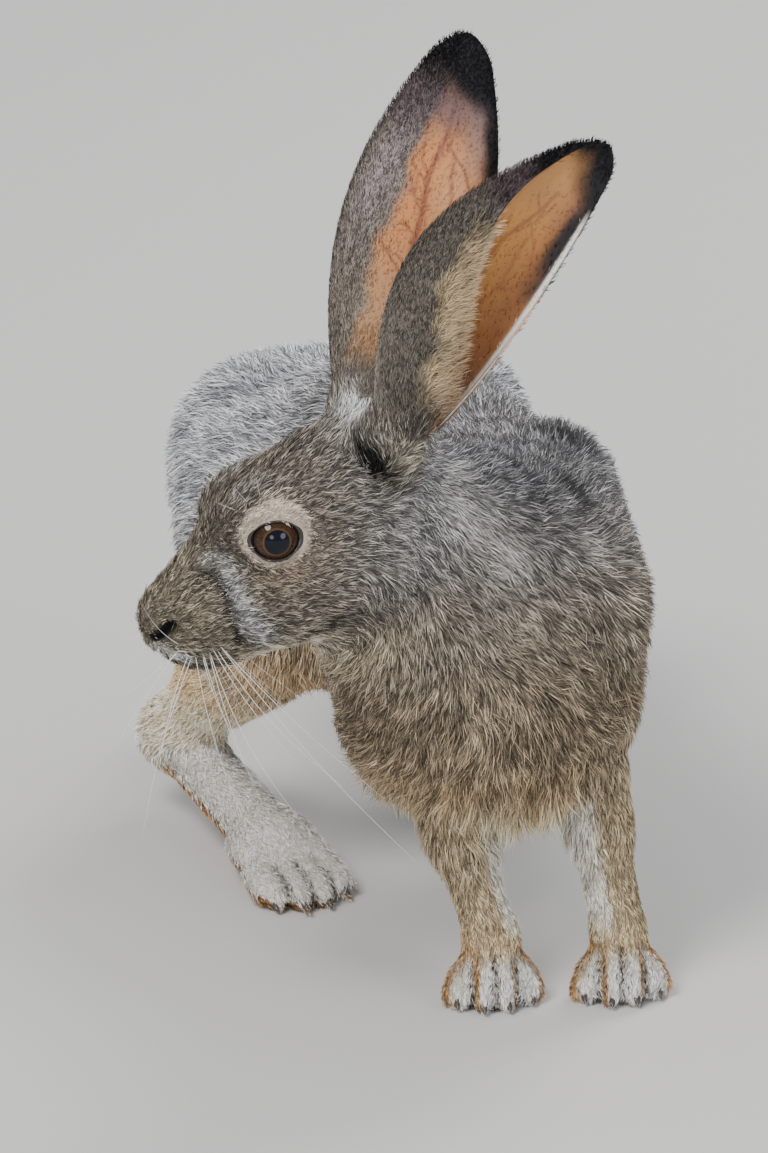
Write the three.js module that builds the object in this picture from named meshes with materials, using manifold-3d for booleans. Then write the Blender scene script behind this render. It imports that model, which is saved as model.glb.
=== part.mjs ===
// A life-size black-tailed jackrabbit, stepping with its head turned to its right.
// The body is one smooth field of blended ellipsoids and tapered limbs, turned into a faceted
// skin and then parted with thin cuts into the pieces that a person would name.
// Millimetres, +Z up. The hare's chest faces -Y and its left side is +X.
import * as THREE from "three";
import { edgeTable, triTable } from "three/addons/objects/MarchingCubes.js";
import { mergeVertices } from "three/addons/utils/BufferGeometryUtils.js";
import Module from "manifold-3d";

const wasm = await Module();
wasm.setup();

// Driving dimensions
const GAP = 0.3;                 // the gap that neighbouring pieces keep
const ORIGIN = [-54, 130, 0];     // what is subtracted, so that the origin is under the middle
const BODY_TURN = 15;            // degrees by which the back points away from +Y, towards -X
const CHEST_WIDTH = 90;
const RUMP_WIDTH = 108;
const BACK_HEIGHT = 180;
const RUMP_HEIGHT = 161;
const BELLY_HEIGHT = 52;
const HEAD_YAW = 10;             // degrees by which the nose comes forward of the profile
const HEAD_PITCH = 31;           // degrees by which the nose points down
const HEAD_CENTRE = [-93, -42, 174];
const EYE_RADIUS = 9;
const EYE_SIDE = 12.8;           // from the middle plane of the head to an eyeball's centre
const EYE_UP = 7;
const EAR_THICKNESS = 2.2;
const EAR_RIM_THICKNESS = 1.2;
const TOE_SINK = 1.2;            // how much of each sole is flattened by the ground

// Edges of the cells from which the pieces are faceted
const CELL = {
  head: 6, core: 7, neck: 10, trunk: 12, tail: 7, shin: 8.5, foot: 6.1, arm: 5.5, paw: 4.3,
};

// Joints of the limbs
const FORE_LEFT = {
  elbow: [7, 31, 98], middle: [13, 14, 56], wrist: [19.5, 9, 22], toes: [21.5, -11, 0],
};
const FORE_RIGHT = {
  elbow: [-47, 29, 98], middle: [-33, 9, 54], wrist: [-23, 4, 22], toes: [-21, -17, 0],
};
const HIND_LEFT = {
  hip: [-46, 232, 126], knee: [-4, 174, 70], hock: [-28, 292, 22], heel: [-30, 302, 13],
  ball: [-6, 212, 10], toes: [2, 180, 0],
};
const HIND_RIGHT = {
  hip: [-96, 214, 122], knee: [-94, 112, 94], hock: [-131, 184, 34], heel: [-133, 188, 29],
  ball: [-97, 119, 13], toes: [-81, 82, 0],
};

const COAT = { grey: 0x8d8378, buff: 0xa08a6c, pale: 0xd8cdb9, rust: 0xa57c4e, black: 0x2a2422 };
const COAT_ROUGHNESS = 0.9;
const EYEBALL = { colour: 0x3a2413, roughness: 0.1 };

const radians = (degrees) => (degrees * Math.PI) / 180;
const add = (a, b) => [a[0] + b[0], a[1] + b[1], a[2] + b[2]];
const sub = (a, b) => [a[0] - b[0], a[1] - b[1], a[2] - b[2]];
const scale = (a, s) => [a[0] * s, a[1] * s, a[2] * s];
const dot = (a, b) => a[0] * b[0] + a[1] * b[1] + a[2] * b[2];
const mix = (a, b, t) => add(scale(a, 1 - t), scale(b, t));
const length = (a) => Math.sqrt(dot(a, a));
const unit = (a) => scale(a, 1 / length(a));
const cross = (a, b) => [
  a[1] * b[2] - a[2] * b[1],
  a[2] * b[0] - a[0] * b[2],
  a[0] * b[1] - a[1] * b[0],
];

// A frame has an origin and three axes, and place() takes its coordinates to the model's.
function makeFrame(origin, axes) {
  return {
    origin,
    axes,
    local: (p) => {
      const d = sub(p, origin);
      return [dot(d, axes[0]), dot(d, axes[1]), dot(d, axes[2])];
    },
    turn: (d) => add(add(scale(axes[0], d[0]), scale(axes[1], d[1])), scale(axes[2], d[2])),
    place: (q) => add(origin, add(add(scale(axes[0], q[0]), scale(axes[1], q[1])), scale(axes[2], q[2]))),
  };
}

// The head's axes are forward to the nose, out to the hare's left, and up through the crown.
const yaw = radians(HEAD_YAW);
const pitch = radians(HEAD_PITCH);
const headForward = [-Math.cos(yaw) * Math.cos(pitch), -Math.sin(yaw) * Math.cos(pitch), -Math.sin(pitch)];
const headLeft = unit(cross([0, 0, 1], headForward));
const HEAD = makeFrame(HEAD_CENTRE, [headForward, headLeft, cross(headForward, headLeft)]);

// The trunk's axes are out to the left, back along the spine, and up.
const turn = radians(BODY_TURN);
const TRUNK = makeFrame([-21, 40, 0], [
  [Math.cos(turn), Math.sin(turn), 0],
  [-Math.sin(turn), Math.cos(turn), 0],
  [0, 0, 1],
]);

// Distance to an ellipsoid, near enough for blending
function ellipsoid(q, centre, radii) {
  const d = sub(q, centre);
  const e = [d[0] / radii[0], d[1] / radii[1], d[2] / radii[2]];
  const k0 = length(e);
  const k1 = length([e[0] / radii[0], e[1] / radii[1], e[2] / radii[2]]);
  return k1 < 1e-9 ? -Math.min(...radii) : (k0 * (k0 - 1)) / k1;
}

// Distance to a limb that tapers from radius ra at a to rb at b
function limb(p, a, ra, b, rb) {
  const ab = sub(b, a);
  const l2 = dot(ab, ab);
  const rr = ra - rb;
  const a2 = l2 - rr * rr;
  const pa = sub(p, a);
  const y = dot(pa, ab);
  const z = y - l2;
  const xx = sub(scale(pa, l2), scale(ab, y));
  const x2 = dot(xx, xx);
  const y2 = y * y * l2;
  const z2 = z * z * l2;
  const k = Math.sign(rr) * rr * rr * x2;
  if (Math.sign(z) * a2 * z2 > k) return Math.sqrt(x2 + z2) / l2 - rb;
  if (Math.sign(y) * a2 * y2 < k) return Math.sqrt(x2 + y2) / l2 - ra;
  return (Math.sqrt((x2 * a2) / l2) + y * rr) / l2 - ra;
}

// Union of distances with a fillet of about k
function blend(k, ...values) {
  let result = values[0];
  for (const value of values.slice(1)) {
    const h = Math.max(k - Math.abs(result - value), 0) / k;
    result = Math.min(result, value) - (h * h * k) / 4;
  }
  return result;
}

function trunkField(p) {
  const q = TRUNK.local(p);
  const half = CHEST_WIDTH / 2;
  const withers = ellipsoid(q, [0, 10, BACK_HEIGHT - 58], [half, 58, 55]);
  const brisket = ellipsoid(q, [-2, -8, 98], [half, 42, 38]);
  const apron = ellipsoid(q, [-5, -5, 84], [half - 1, 37, 22]);
  const loin = ellipsoid(q, [3, 84, BACK_HEIGHT - 58], [half + 3, 84, 58]);
  const croup = ellipsoid(q, [0, 130, 120], [half + 1, 60, 55]);
  const belly = ellipsoid(q, [-1, 108, BELLY_HEIGHT + 38], [34, 62, 36]);
  const rump = ellipsoid(q, [-1, 170, RUMP_HEIGHT - 52], [RUMP_WIDTH / 2, 74, 51]);
  return blend(20, withers, brisket, apron, loin, croup, belly, rump);
}

function neckField(p) {
  const crest = limb(p, [-20, 28, 142], 38, [-60, -22, 186], 22);
  const throat = limb(p, [-34, 8, 108], 40, [-66, -26, 160], 24);
  return blend(16, crest, throat);
}

function headField(p) {
  const [a, s, b] = HEAD.local(p);
  const q = [a, Math.abs(s), b];
  const cranium = ellipsoid(q, [-21, 0, 3], [36, 21, 24]);
  const brow = ellipsoid(q, [2, 10.5, 16], [16, 9.5, 10.5]);
  const bridge = limb(q, [6, 0, 14], 10, [38, 0, 0.5], 8);
  const muzzle = ellipsoid(q, [28, 0, -8], [24, 13, 19]);
  const nose = ellipsoid(q, [43, 0, -2.5], [10.5, 8.5, 10]);
  const pad = ellipsoid(q, [37, 7, -8], [10.5, 8.5, 10]);
  const chin = limb(q, [38, 0, -17], 6, [8, 0, -21], 12);
  const cheek = ellipsoid(q, [1, 9, -13], [27, 12.5, 18]);
  const jaw = ellipsoid(q, [-16, 10, -16], [20, 12, 18]);
  return blend(7, cranium, brow, bridge, muzzle, nose, pad, chin, cheek, jaw);
}

// Four toes side by side, from the knuckles at the ball of the foot to their tips on the ground
const TOE_REACH = [-5, 0, -1, -7];
const TOE_SPREAD = { knuckles: 0.85, tips: 1.12 };
const KNUCKLE_REACH = 0.6;       // share of a toe's reach that its knuckle has
const KNUCKLE_SWELL = 0.6;
const TOE_FILLET = 1.8;
function toeLine(ball, tips, index, width) {
  const ahead = unit([tips[0] - ball[0], tips[1] - ball[1], 0]);
  const across = [-ahead[1], ahead[0], 0];
  const place = (index - 1.5) * width;
  const reach = TOE_REACH[index];
  const beside = add(ball, scale(across, place * TOE_SPREAD.knuckles));
  const knuckle = add(beside, scale(ahead, reach * KNUCKLE_REACH));
  const tip = add(add(tips, scale(across, place * TOE_SPREAD.tips)), scale(ahead, reach));
  return { knuckle, tip, ahead };
}

function toesField(p, ball, tips, width, radius) {
  const rest = radius - TOE_SINK;
  let result = 1e3;
  for (let index = 0; index < TOE_REACH.length; index += 1) {
    const { knuckle, tip, ahead } = toeLine(ball, tips, index, width);
    const end = add(scale(ahead, -radius), [tip[0], tip[1], rest]);
    const toe = limb(p, knuckle, radius + KNUCKLE_SWELL, end, radius);
    result = index === 0 ? toe : blend(TOE_FILLET, result, toe);
  }
  return result;
}

const FORE_TOE = { width: 7.6, radius: 5.2 };
const HIND_TOE = { width: 8.2, radius: 5.8 };

// The ball of a forefoot, where its toes begin: a share of the way from wrist to toes
const PALM = { share: 0.42, toeHeight: 8.4, height: 9, wristRadius: 9, radius: 10.2 };
function palmEnd(leg) {
  const [x, y] = mix(leg.wrist, leg.toes, PALM.share);
  return [x, y, PALM.toeHeight];
}

function foreField(p, leg) {
  const upper = limb(p, leg.elbow, 17, leg.middle, 10.5);
  const lower = limb(p, leg.middle, 10.5, leg.wrist, 8.6);
  const ball = palmEnd(leg);
  const palm = limb(p, leg.wrist, PALM.wristRadius, [ball[0], ball[1], PALM.height], PALM.radius);
  const toes = toesField(p, ball, leg.toes, FORE_TOE.width, FORE_TOE.radius);
  return blend(5, blend(8, upper, lower), palm, toes);
}

function hindField(p, leg) {
  const shin = limb(p, leg.knee, 22, leg.hock, 10.5);
  const calf = limb(p, mix(leg.knee, leg.hock, 0.2), 20, mix(leg.knee, leg.hock, 0.6), 13.5);
  const heel = limb(p, leg.hock, 10.5, leg.heel, 10.5);
  const instep = limb(p, leg.heel, 10.5, leg.ball, 11.5);
  const toes = toesField(p, leg.ball, leg.toes, HIND_TOE.width, HIND_TOE.radius);
  const foot = blend(6, instep, toes);
  return blend(9, blend(8, shin, calf), heel, foot);
}

function thighField(p, leg) {
  const ham = limb(p, leg.hip, 37, mix(leg.hip, leg.knee, 0.55), 34);
  return blend(14, ham, limb(p, leg.hip, 34, leg.knee, 24));
}

function tailField(p) {
  const base = limb(p, [-82, 266, 108], 12, [-90, 298, 92], 13);
  return blend(8, base, limb(p, [-90, 298, 92], 13, [-96, 317, 52], 7));
}

// Ears: each is a sheet rolled into a cup that opens backwards, on a short root
const EARS = [
  { name: "ear_left", side: 1, base: [-52, 14.6, 15], tip: [13, -40, 306], bow: [-9, 0, 3], width: 44 },
  { name: "ear_right", side: -1, base: [-48, -14.6, 19], tip: [-31, -6, 334], bow: [0, 0, 0], width: 48 },
];
const EAR_OPENING = [1, 0, 0];
const EAR_STEPS = { along: 14, across: 11 };
const EAR_TIP_START = 0.93;
const EAR_SEAT = 10;             // from the ear's base along it to where the sheet leaves its root
const EAR_DROP = 1.1;            // what the sheet's bow lowers its first edge by, and the gap
const EAR_SEAT_REACH = { side: 32, along: 60 };
const EAR_ROOT = { sunk: 9, low: 11.5, high: 12.5 };
const EAR_WIDTH = { start: 0.13, span: 0.8, power: 0.9 };
const EAR_BACK_RIM = { root: 165, fall: 40 };
const EAR_FRONT_RIM = { tip: 35, rise: 115, power: 1.3 };
const EAR_DEPTH = { root: 9.5, tip: 1.8, power: 2.2 };
const EAR_SHEET_LIMIT = { wide: 0.35, deep: 0.45 };

// Semi-axes of the rolled section and the angles of its two rims, from root (0) to tip (1)
function earSection(ear, v) {
  const past = Math.max(0, (v - EAR_TIP_START) / (1 - EAR_TIP_START));
  const round = Math.sqrt(Math.max(0.04, 1 - past * past));
  const swelling = Math.sin(Math.PI * (EAR_WIDTH.start + EAR_WIDTH.span * v));
  const width = ear.width * Math.pow(swelling, EAR_WIDTH.power) * round;
  const backRim = radians(EAR_BACK_RIM.root - EAR_BACK_RIM.fall * v);
  const frontRim = radians(EAR_FRONT_RIM.tip + EAR_FRONT_RIM.rise * Math.pow(1 - v, EAR_FRONT_RIM.power));
  const wide = width / (1 - Math.cos(backRim));
  const deep = EAR_DEPTH.root * (1 - Math.pow(v, EAR_DEPTH.power)) + EAR_DEPTH.tip;
  return { wide, deep, backRim, frontRim };
}

// The sheet's frame has its opening, its front rim's side and its length as axes
function earFrame(ear) {
  const base = HEAD.place(ear.base);
  const axis = unit(sub(ear.tip, base));
  const open = unit(sub(EAR_OPENING, scale(axis, dot(EAR_OPENING, axis))));
  const front = scale(cross(open, axis), ear.side);
  return makeFrame(base, [open, front, axis]);
}

// The stout root that carries each ear's sheet
function earRootField(p) {
  const roots = EARS.map((ear) => {
    const { origin, axes } = earFrame(ear);
    const low = add(origin, scale(axes[2], -EAR_ROOT.sunk));
    return limb(p, low, EAR_ROOT.low, add(origin, scale(axes[2], EAR_SEAT)), EAR_ROOT.high);
  });
  return Math.min(...roots);
}

// Shoulder blades run from the withers down to the points of the shoulders
const SHOULDERS = [
  { blade: [-4, 68, 156], joint: [5, 22, 132], leg: FORE_LEFT },
  { blade: [-44, 58, 154], joint: [-49, 14, 132], leg: FORE_RIGHT },
];

// The skin of head, neck and trunk, with shoulders and thighs: below zero inside
function bodyField(p) {
  const core = blend(20, trunkField(p), neckField(p));
  const blades = SHOULDERS.map(({ blade, joint }) => limb(p, blade, 25, joint, 22));
  const arms = SHOULDERS.map(({ joint, leg }) => limb(p, joint, 22, leg.elbow, 16));
  const trunk = blend(12, core, ...blades, ...arms);
  const hams = blend(14, trunk, thighField(p, HIND_LEFT), thighField(p, HIND_RIGHT));
  return blend(6, blend(12, hams, headField(p)), earRootField(p));
}

// Corner offsets of a cell and the corners that its twelve edges join
const CORNERS = [
  [0, 0, 0], [1, 0, 0], [1, 1, 0], [0, 1, 0], [0, 0, 1], [1, 0, 1], [1, 1, 1], [0, 1, 1],
];
const EDGES = [
  [0, 1], [1, 2], [3, 2], [0, 3], [4, 5], [5, 6], [7, 6], [4, 7], [0, 4], [1, 5], [2, 6], [3, 7],
];

// The way in which a field grows fastest at a place
function gradient(field, p) {
  const e = 0.2;
  return unit([
    field([p[0] + e, p[1], p[2]]) - field([p[0] - e, p[1], p[2]]),
    field([p[0], p[1] + e, p[2]]) - field([p[0], p[1] - e, p[2]]),
    field([p[0], p[1], p[2] + e]) - field([p[0], p[1], p[2] - e]),
  ]);
}

// Slides each point towards the middle of its neighbours and back onto the field's surface
const SLIDE = 0.6;
function relax(points, faces, field, level, rounds) {
  const neighbours = points.map(() => new Set());
  for (const [i, j, k] of faces) {
    neighbours[i].add(j).add(k);
    neighbours[j].add(i).add(k);
    neighbours[k].add(i).add(j);
  }
  let moved = points;
  for (let round = 0; round < rounds; round += 1) {
    moved = moved.map((point, index) => {
      const around = [...neighbours[index]];
      const total = around.reduce((sum, other) => add(sum, moved[other]), [0, 0, 0]);
      const middle = scale(total, 1 / around.length);
      const slid = mix(point, middle, SLIDE);
      const off = field(slid) - level;
      return sub(slid, scale(gradient(field, slid), off));
    });
  }
  return moved;
}

// Faceted surface of a field inside a box of cells, closed where the box cuts it. Its points keep
// a little way from the cells' corners, so that no face is a sliver.
const CORNER_ROOM = 0.07;
function polygonise(field, low, high, cell, level = 0, rounds = 3) {
  const count = [0, 1, 2].map((axis) => Math.ceil((high[axis] - low[axis]) / cell) + 1);
  const at = (i, j, k) => [low[0] + i * cell, low[1] + j * cell, low[2] + k * cell];
  const key = (i, j, k) => i + count[0] * (j + count[1] * k);
  const values = new Float64Array(count[0] * count[1] * count[2]);
  for (let k = 0; k < count[2]; k += 1) {
    for (let j = 0; j < count[1]; j += 1) {
      for (let i = 0; i < count[0]; i += 1) {
        const inside = i > 0 && j > 0 && k > 0 && i < count[0] - 1 && j < count[1] - 1 && k < count[2] - 1;
        values[key(i, j, k)] = inside ? field(at(i, j, k)) - level : cell * 0.5;
      }
    }
  }
  const points = [];
  const faces = [];
  const made = new Map();
  for (let k = 0; k < count[2] - 1; k += 1) {
    for (let j = 0; j < count[1] - 1; j += 1) {
      for (let i = 0; i < count[0] - 1; i += 1) {
        const corner = CORNERS.map(([di, dj, dk]) => [i + di, j + dj, k + dk]);
        let code = 0;
        corner.forEach((c, n) => {
          if (values[key(...c)] < 0) code |= 1 << n;
        });
        if (edgeTable[code] === 0) continue;
        const vertex = (edge) => {
          const [c0, c1] = EDGES[edge].map((n) => corner[n]);
          const name = `${key(...c0)}_${key(...c1)}`;
          if (!made.has(name)) {
            const v0 = values[key(...c0)];
            const v1 = values[key(...c1)];
            const t = Math.min(1 - CORNER_ROOM, Math.max(CORNER_ROOM, v0 / (v0 - v1)));
            made.set(name, points.push(mix(at(...c0), at(...c1), t)) - 1);
          }
          return made.get(name);
        };
        for (let n = code * 16; triTable[n] !== -1; n += 3) {
          faces.push([vertex(triTable[n]), vertex(triTable[n + 1]), vertex(triTable[n + 2])]);
        }
      }
    }
  }
  return solidFrom(relax(points, faces, field, level, rounds), faces);
}

// A manifold solid from points and faces, turned the right way out
function solidFrom(points, faces) {
  const volume = faces.reduce((sum, [i, j, k]) => sum + dot(points[i], cross(points[j], points[k])), 0);
  const ordered = volume < 0 ? faces.map(([i, j, k]) => [i, k, j]) : faces;
  return new wasm.Manifold(new wasm.Mesh({
    numProp: 3,
    vertProperties: new Float32Array(points.flat()),
    triVerts: new Uint32Array(ordered.flat()),
  }));
}

function solidFromGeometry(geometry) {
  const bare = geometry.clone();
  bare.deleteAttribute("normal");
  bare.deleteAttribute("uv");
  const merged = mergeVertices(bare, 1e-4);
  const position = merged.getAttribute("position");
  const points = [];
  for (let n = 0; n < position.count; n += 1) {
    points.push([position.getX(n), position.getY(n), position.getZ(n)]);
  }
  const index = merged.index.array;
  const faces = [];
  for (let n = 0; n < index.length; n += 3) {
    const face = [index[n], index[n + 1], index[n + 2]];
    if (new Set(face).size === 3) faces.push(face);
  }
  return solidFrom(points, faces);
}

// A box of a frame's own directions, between two corners given in that frame
function boxIn(frame, low, high) {
  const geometry = new THREE.BoxGeometry(high[0] - low[0], high[1] - low[1], high[2] - low[2]);
  const basis = new THREE.Matrix4().makeBasis(...frame.axes.map((axis) => new THREE.Vector3(...axis)));
  basis.setPosition(...frame.place(scale(add(low, high), 0.5)));
  return solidFromGeometry(geometry.applyMatrix4(basis));
}

// A block that fills one side of a plane, from the plane along its normal
const FAR = 400;
function beyond(point, normal, gap = GAP / 2) {
  const n = unit(normal);
  const side = unit(cross(n, Math.abs(n[2]) < 0.9 ? [0, 0, 1] : [1, 0, 0]));
  const frame = makeFrame(point, [n, side, cross(n, side)]);
  return boxIn(frame, [-gap, -FAR, -FAR], [2 * FAR, FAR, FAR]);
}

function largest(solid) {
  const bodies = solid.decompose();
  return bodies.reduce((best, body) => (body.volume() > best.volume() ? body : best), bodies[0]);
}

function cut(solid, ...tools) {
  return largest(tools.reduce((rest, tool) => rest.subtract(tool), solid));
}

const group = new THREE.Group();

function addNode(name, solid, colour, roughness = COAT_ROUGHNESS) {
  const mesh = solid.getMesh();
  const geometry = new THREE.BufferGeometry();
  const positions = new Float32Array(mesh.numVert * 3);
  for (let n = 0; n < mesh.numVert; n += 1) {
    for (let axis = 0; axis < 3; axis += 1) {
      positions[n * 3 + axis] = mesh.vertProperties[n * mesh.numProp + axis] - ORIGIN[axis];
    }
  }
  geometry.setAttribute("position", new THREE.BufferAttribute(positions, 3));
  geometry.setIndex(new THREE.BufferAttribute(new Uint32Array(mesh.triVerts), 1));
  geometry.computeVertexNormals();
  const material = new THREE.MeshStandardMaterial({ color: colour, roughness, metalness: 0 });
  const node = new THREE.Mesh(geometry, material);
  node.name = name;
  group.add(node);
}

// Planes that part the body
const ground = beyond([0, 0, 0], [0, 0, -1], 0);
const napePoint = HEAD.place([-40, 0, -8]);
const napeNormal = HEAD.turn([-0.8, 0, -0.6]);
const jawPoint = HEAD.place([0, 0, -37]);
const jawNormal = HEAD.turn([0.12, 0, -1]);
const collarPoint = [-40, -2, 150];
const collarNormal = [0.42, 0.55, -0.72];
const flankPoint = TRUNK.place([0, 62, 0]);
const flankNormal = TRUNK.turn([0, 1, 0]);
const THIGH_SIDE = 38;

// Head, with sockets, lids, nostrils and the line of the mouth
const EYES = [{ side: 1, name: "eye_left" }, { side: -1, name: "eye_right" }];
const eyeCentre = (side) => HEAD.place([0, side * EYE_SIDE, EYE_UP]);
const EYE_TILT = radians(29);
const LID = { long: 8.6, high: 6.8, lift: 0.7, radius: 1.3, around: 18, round: 6 };

// The rim of the lids is a closed loop that lies on the eyeball
function lidRing(side) {
  const points = [];
  const faces = [];
  const reach = EYE_RADIUS + LID.lift;
  const loop = (t) => {
    const x = LID.long * Math.cos(t);
    const y = LID.high * Math.sin(t);
    const out = Math.sqrt(reach * reach - x * x - y * y);
    const a = x * Math.cos(EYE_TILT) - y * Math.sin(EYE_TILT);
    const b = x * Math.sin(EYE_TILT) + y * Math.cos(EYE_TILT);
    return [a, side * (EYE_SIDE + out), EYE_UP + b];
  };
  for (let i = 0; i < LID.around; i += 1) {
    const t = (2 * Math.PI * i) / LID.around;
    const centre = loop(t);
    const along = unit(sub(loop(t + 0.01), loop(t - 0.01)));
    const outward = unit(sub(centre, [0, side * EYE_SIDE, EYE_UP]));
    const across = cross(along, outward);
    for (let j = 0; j < LID.round; j += 1) {
      const angle = (2 * Math.PI * j) / LID.round;
      const round = add(scale(outward, Math.cos(angle)), scale(across, Math.sin(angle)));
      points.push(HEAD.place(add(centre, scale(round, LID.radius))));
      const i2 = (i + 1) % LID.around;
      const j2 = (j + 1) % LID.round;
      const corners = [i * LID.round + j, i2 * LID.round + j, i2 * LID.round + j2, i * LID.round + j2];
      faces.push([corners[0], corners[1], corners[2]], [corners[0], corners[2], corners[3]]);
    }
  }
  return solidFrom(points, faces);
}

function ball(frame, centre, radii, tilt = 0, around = 14) {
  const geometry = new THREE.SphereGeometry(1, around, Math.round(around * 0.7));
  geometry.scale(...radii);
  geometry.rotateY(tilt);
  const basis = new THREE.Matrix4().makeBasis(...frame.axes.map((axis) => new THREE.Vector3(...axis)));
  basis.setPosition(...frame.place(centre));
  return solidFromGeometry(geometry.applyMatrix4(basis));
}

// A plate that follows a line in the head's middle plane and reaches out to both sides
function plateAlong(line, halfWidth, thickness) {
  const shape = new THREE.Shape();
  const offset = line.map(([a, b]) => [a, b - thickness]);
  shape.moveTo(...line[0]);
  line.slice(1).forEach(([a, b]) => shape.lineTo(a, b));
  offset.reverse().forEach(([a, b]) => shape.lineTo(a, b));
  const geometry = new THREE.ExtrudeGeometry(shape, { depth: 2 * halfWidth, bevelEnabled: false });
  geometry.translate(0, 0, -halfWidth);
  const [forward, left, up] = HEAD.axes.map((axis) => new THREE.Vector3(...axis));
  const basis = new THREE.Matrix4().makeBasis(forward, up, left);
  basis.setPosition(...HEAD.origin);
  return solidFromGeometry(geometry.applyMatrix4(basis));
}

const headBox = { low: [-165, -90, 112], high: [-10, 16, 236] };
const GROOVE_DEPTH = 2.2;        // how far the mouth and the philtrum go in under the skin
const wholeHead = polygonise(bodyField, headBox.low, headBox.high, CELL.head);
const headCore = polygonise(headField, headBox.low, headBox.high, CELL.core, -GROOVE_DEPTH, 1);
const MOUTH_LINE = [[58, -5.5], [52, -9.5], [45.5, -16], [39, -20.5], [33, -23]];
const MOUTH = { halfWidth: 20, height: 1 };
const PHILTRUM = { low: [47, -0.45, -14], high: [60, 0.45, -4] };
const NOSTRIL = { ahead: 49.5, side: 5.4, up: -3.2, radii: [4.2, 1.8, 1.5], tilt: 0.5 };
const SOCKET_FACETS = 20;
const mouth = plateAlong(MOUTH_LINE, MOUTH.halfWidth, MOUTH.height).subtract(headCore);
const philtrum = boxIn(HEAD, PHILTRUM.low, PHILTRUM.high).subtract(headCore);
const nostrils = EYES.map(({ side }) => (
  ball(HEAD, [NOSTRIL.ahead, side * NOSTRIL.side, NOSTRIL.up], NOSTRIL.radii, NOSTRIL.tilt)
));
const lids = EYES.map(({ side }) => lidRing(side));
const socketRadius = EYE_RADIUS + GAP;
const sockets = EYES.map(({ side }) => (
  ball(HEAD, [0, side * EYE_SIDE, EYE_UP], [socketRadius, socketRadius, socketRadius], 0, SOCKET_FACETS)
));

function earSheet(ear) {
  const frame = earFrame(ear);
  const reach = length(sub(ear.tip, frame.origin));
  const start = EAR_SEAT / reach;
  const { along, across } = EAR_STEPS;
  const at = (v, w, depth) => {
    const { wide, deep, backRim, frontRim } = earSection(ear, v);
    const t = -backRim + (backRim + frontRim) * w;
    const thick = Math.min(depth, wide * EAR_SHEET_LIMIT.wide, deep * EAR_SHEET_LIMIT.deep);
    const middle = (wide * (1 + Math.cos(backRim))) / 2;
    const q = [middle - (wide - thick) * Math.cos(t), (deep - thick) * Math.sin(t), reach * v];
    return add(frame.place(q), scale(ear.bow, Math.sin(Math.PI * v)));
  };
  const points = [];
  for (let i = 0; i <= along; i += 1) {
    for (let j = 0; j <= across; j += 1) {
      const w = j / across;
      const edge = (2 * w - 1) ** 2;
      const thickness = EAR_THICKNESS + (EAR_RIM_THICKNESS - EAR_THICKNESS) * edge;
      const v = start + ((1 - start) * i) / along;
      points.push(at(v, w, 0), at(v, w, thickness));
    }
  }
  const id = (i, j, layer) => (i * (across + 1) + j) * 2 + layer;
  const faces = [];
  const quad = (a, b, c, d) => faces.push([a, b, c], [a, c, d]);
  for (let i = 0; i < along; i += 1) {
    for (let j = 0; j < across; j += 1) {
      quad(id(i, j, 0), id(i, j + 1, 0), id(i + 1, j + 1, 0), id(i + 1, j, 0));
      faces.push([id(i, j, 1), id(i + 1, j + 1, 1), id(i, j + 1, 1)]);
      faces.push([id(i, j, 1), id(i + 1, j, 1), id(i + 1, j + 1, 1)]);
    }
    quad(id(i, 0, 0), id(i + 1, 0, 0), id(i + 1, 0, 1), id(i, 0, 1));
    quad(id(i, across, 0), id(i, across, 1), id(i + 1, across, 1), id(i + 1, across, 0));
  }
  for (let j = 0; j < across; j += 1) {
    quad(id(0, j, 0), id(0, j, 1), id(0, j + 1, 1), id(0, j + 1, 0));
    quad(id(along, j, 0), id(along, j + 1, 0), id(along, j + 1, 1), id(along, j, 1));
  }
  return solidFrom(points, faces);
}

// The space above an ear's root that its sheet stands in
const earSeat = (ear) => boxIn(
  earFrame(ear),
  [-EAR_SEAT_REACH.side, -EAR_SEAT_REACH.side, EAR_SEAT - EAR_DROP],
  [EAR_SEAT_REACH.side, EAR_SEAT_REACH.side, EAR_SEAT_REACH.along],
);

// The head ends behind at the nape and below at the line of the jaw
function headSide(gap) {
  const whole = boxIn(HEAD, [-200, -90, -200], [90, 90, 90]);
  return whole.subtract(beyond(napePoint, napeNormal, gap)).subtract(beyond(jawPoint, jawNormal, gap));
}

const fullHead = lids.reduce((whole, lid) => whole.add(lid), wholeHead.intersect(headSide(GAP / 2)));
const head = cut(fullHead, ...sockets, ...nostrils, mouth, philtrum, ...EARS.map(earSeat));
addNode("head", head, COAT.buff);

for (const { side, name } of EYES) {
  const geometry = new THREE.IcosahedronGeometry(EYE_RADIUS, 2);
  geometry.translate(...eyeCentre(side));
  addNode(name, solidFromGeometry(geometry), EYEBALL.colour, EYEBALL.roughness);
}

for (const ear of EARS) addNode(ear.name, earSheet(ear), COAT.grey);

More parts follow.
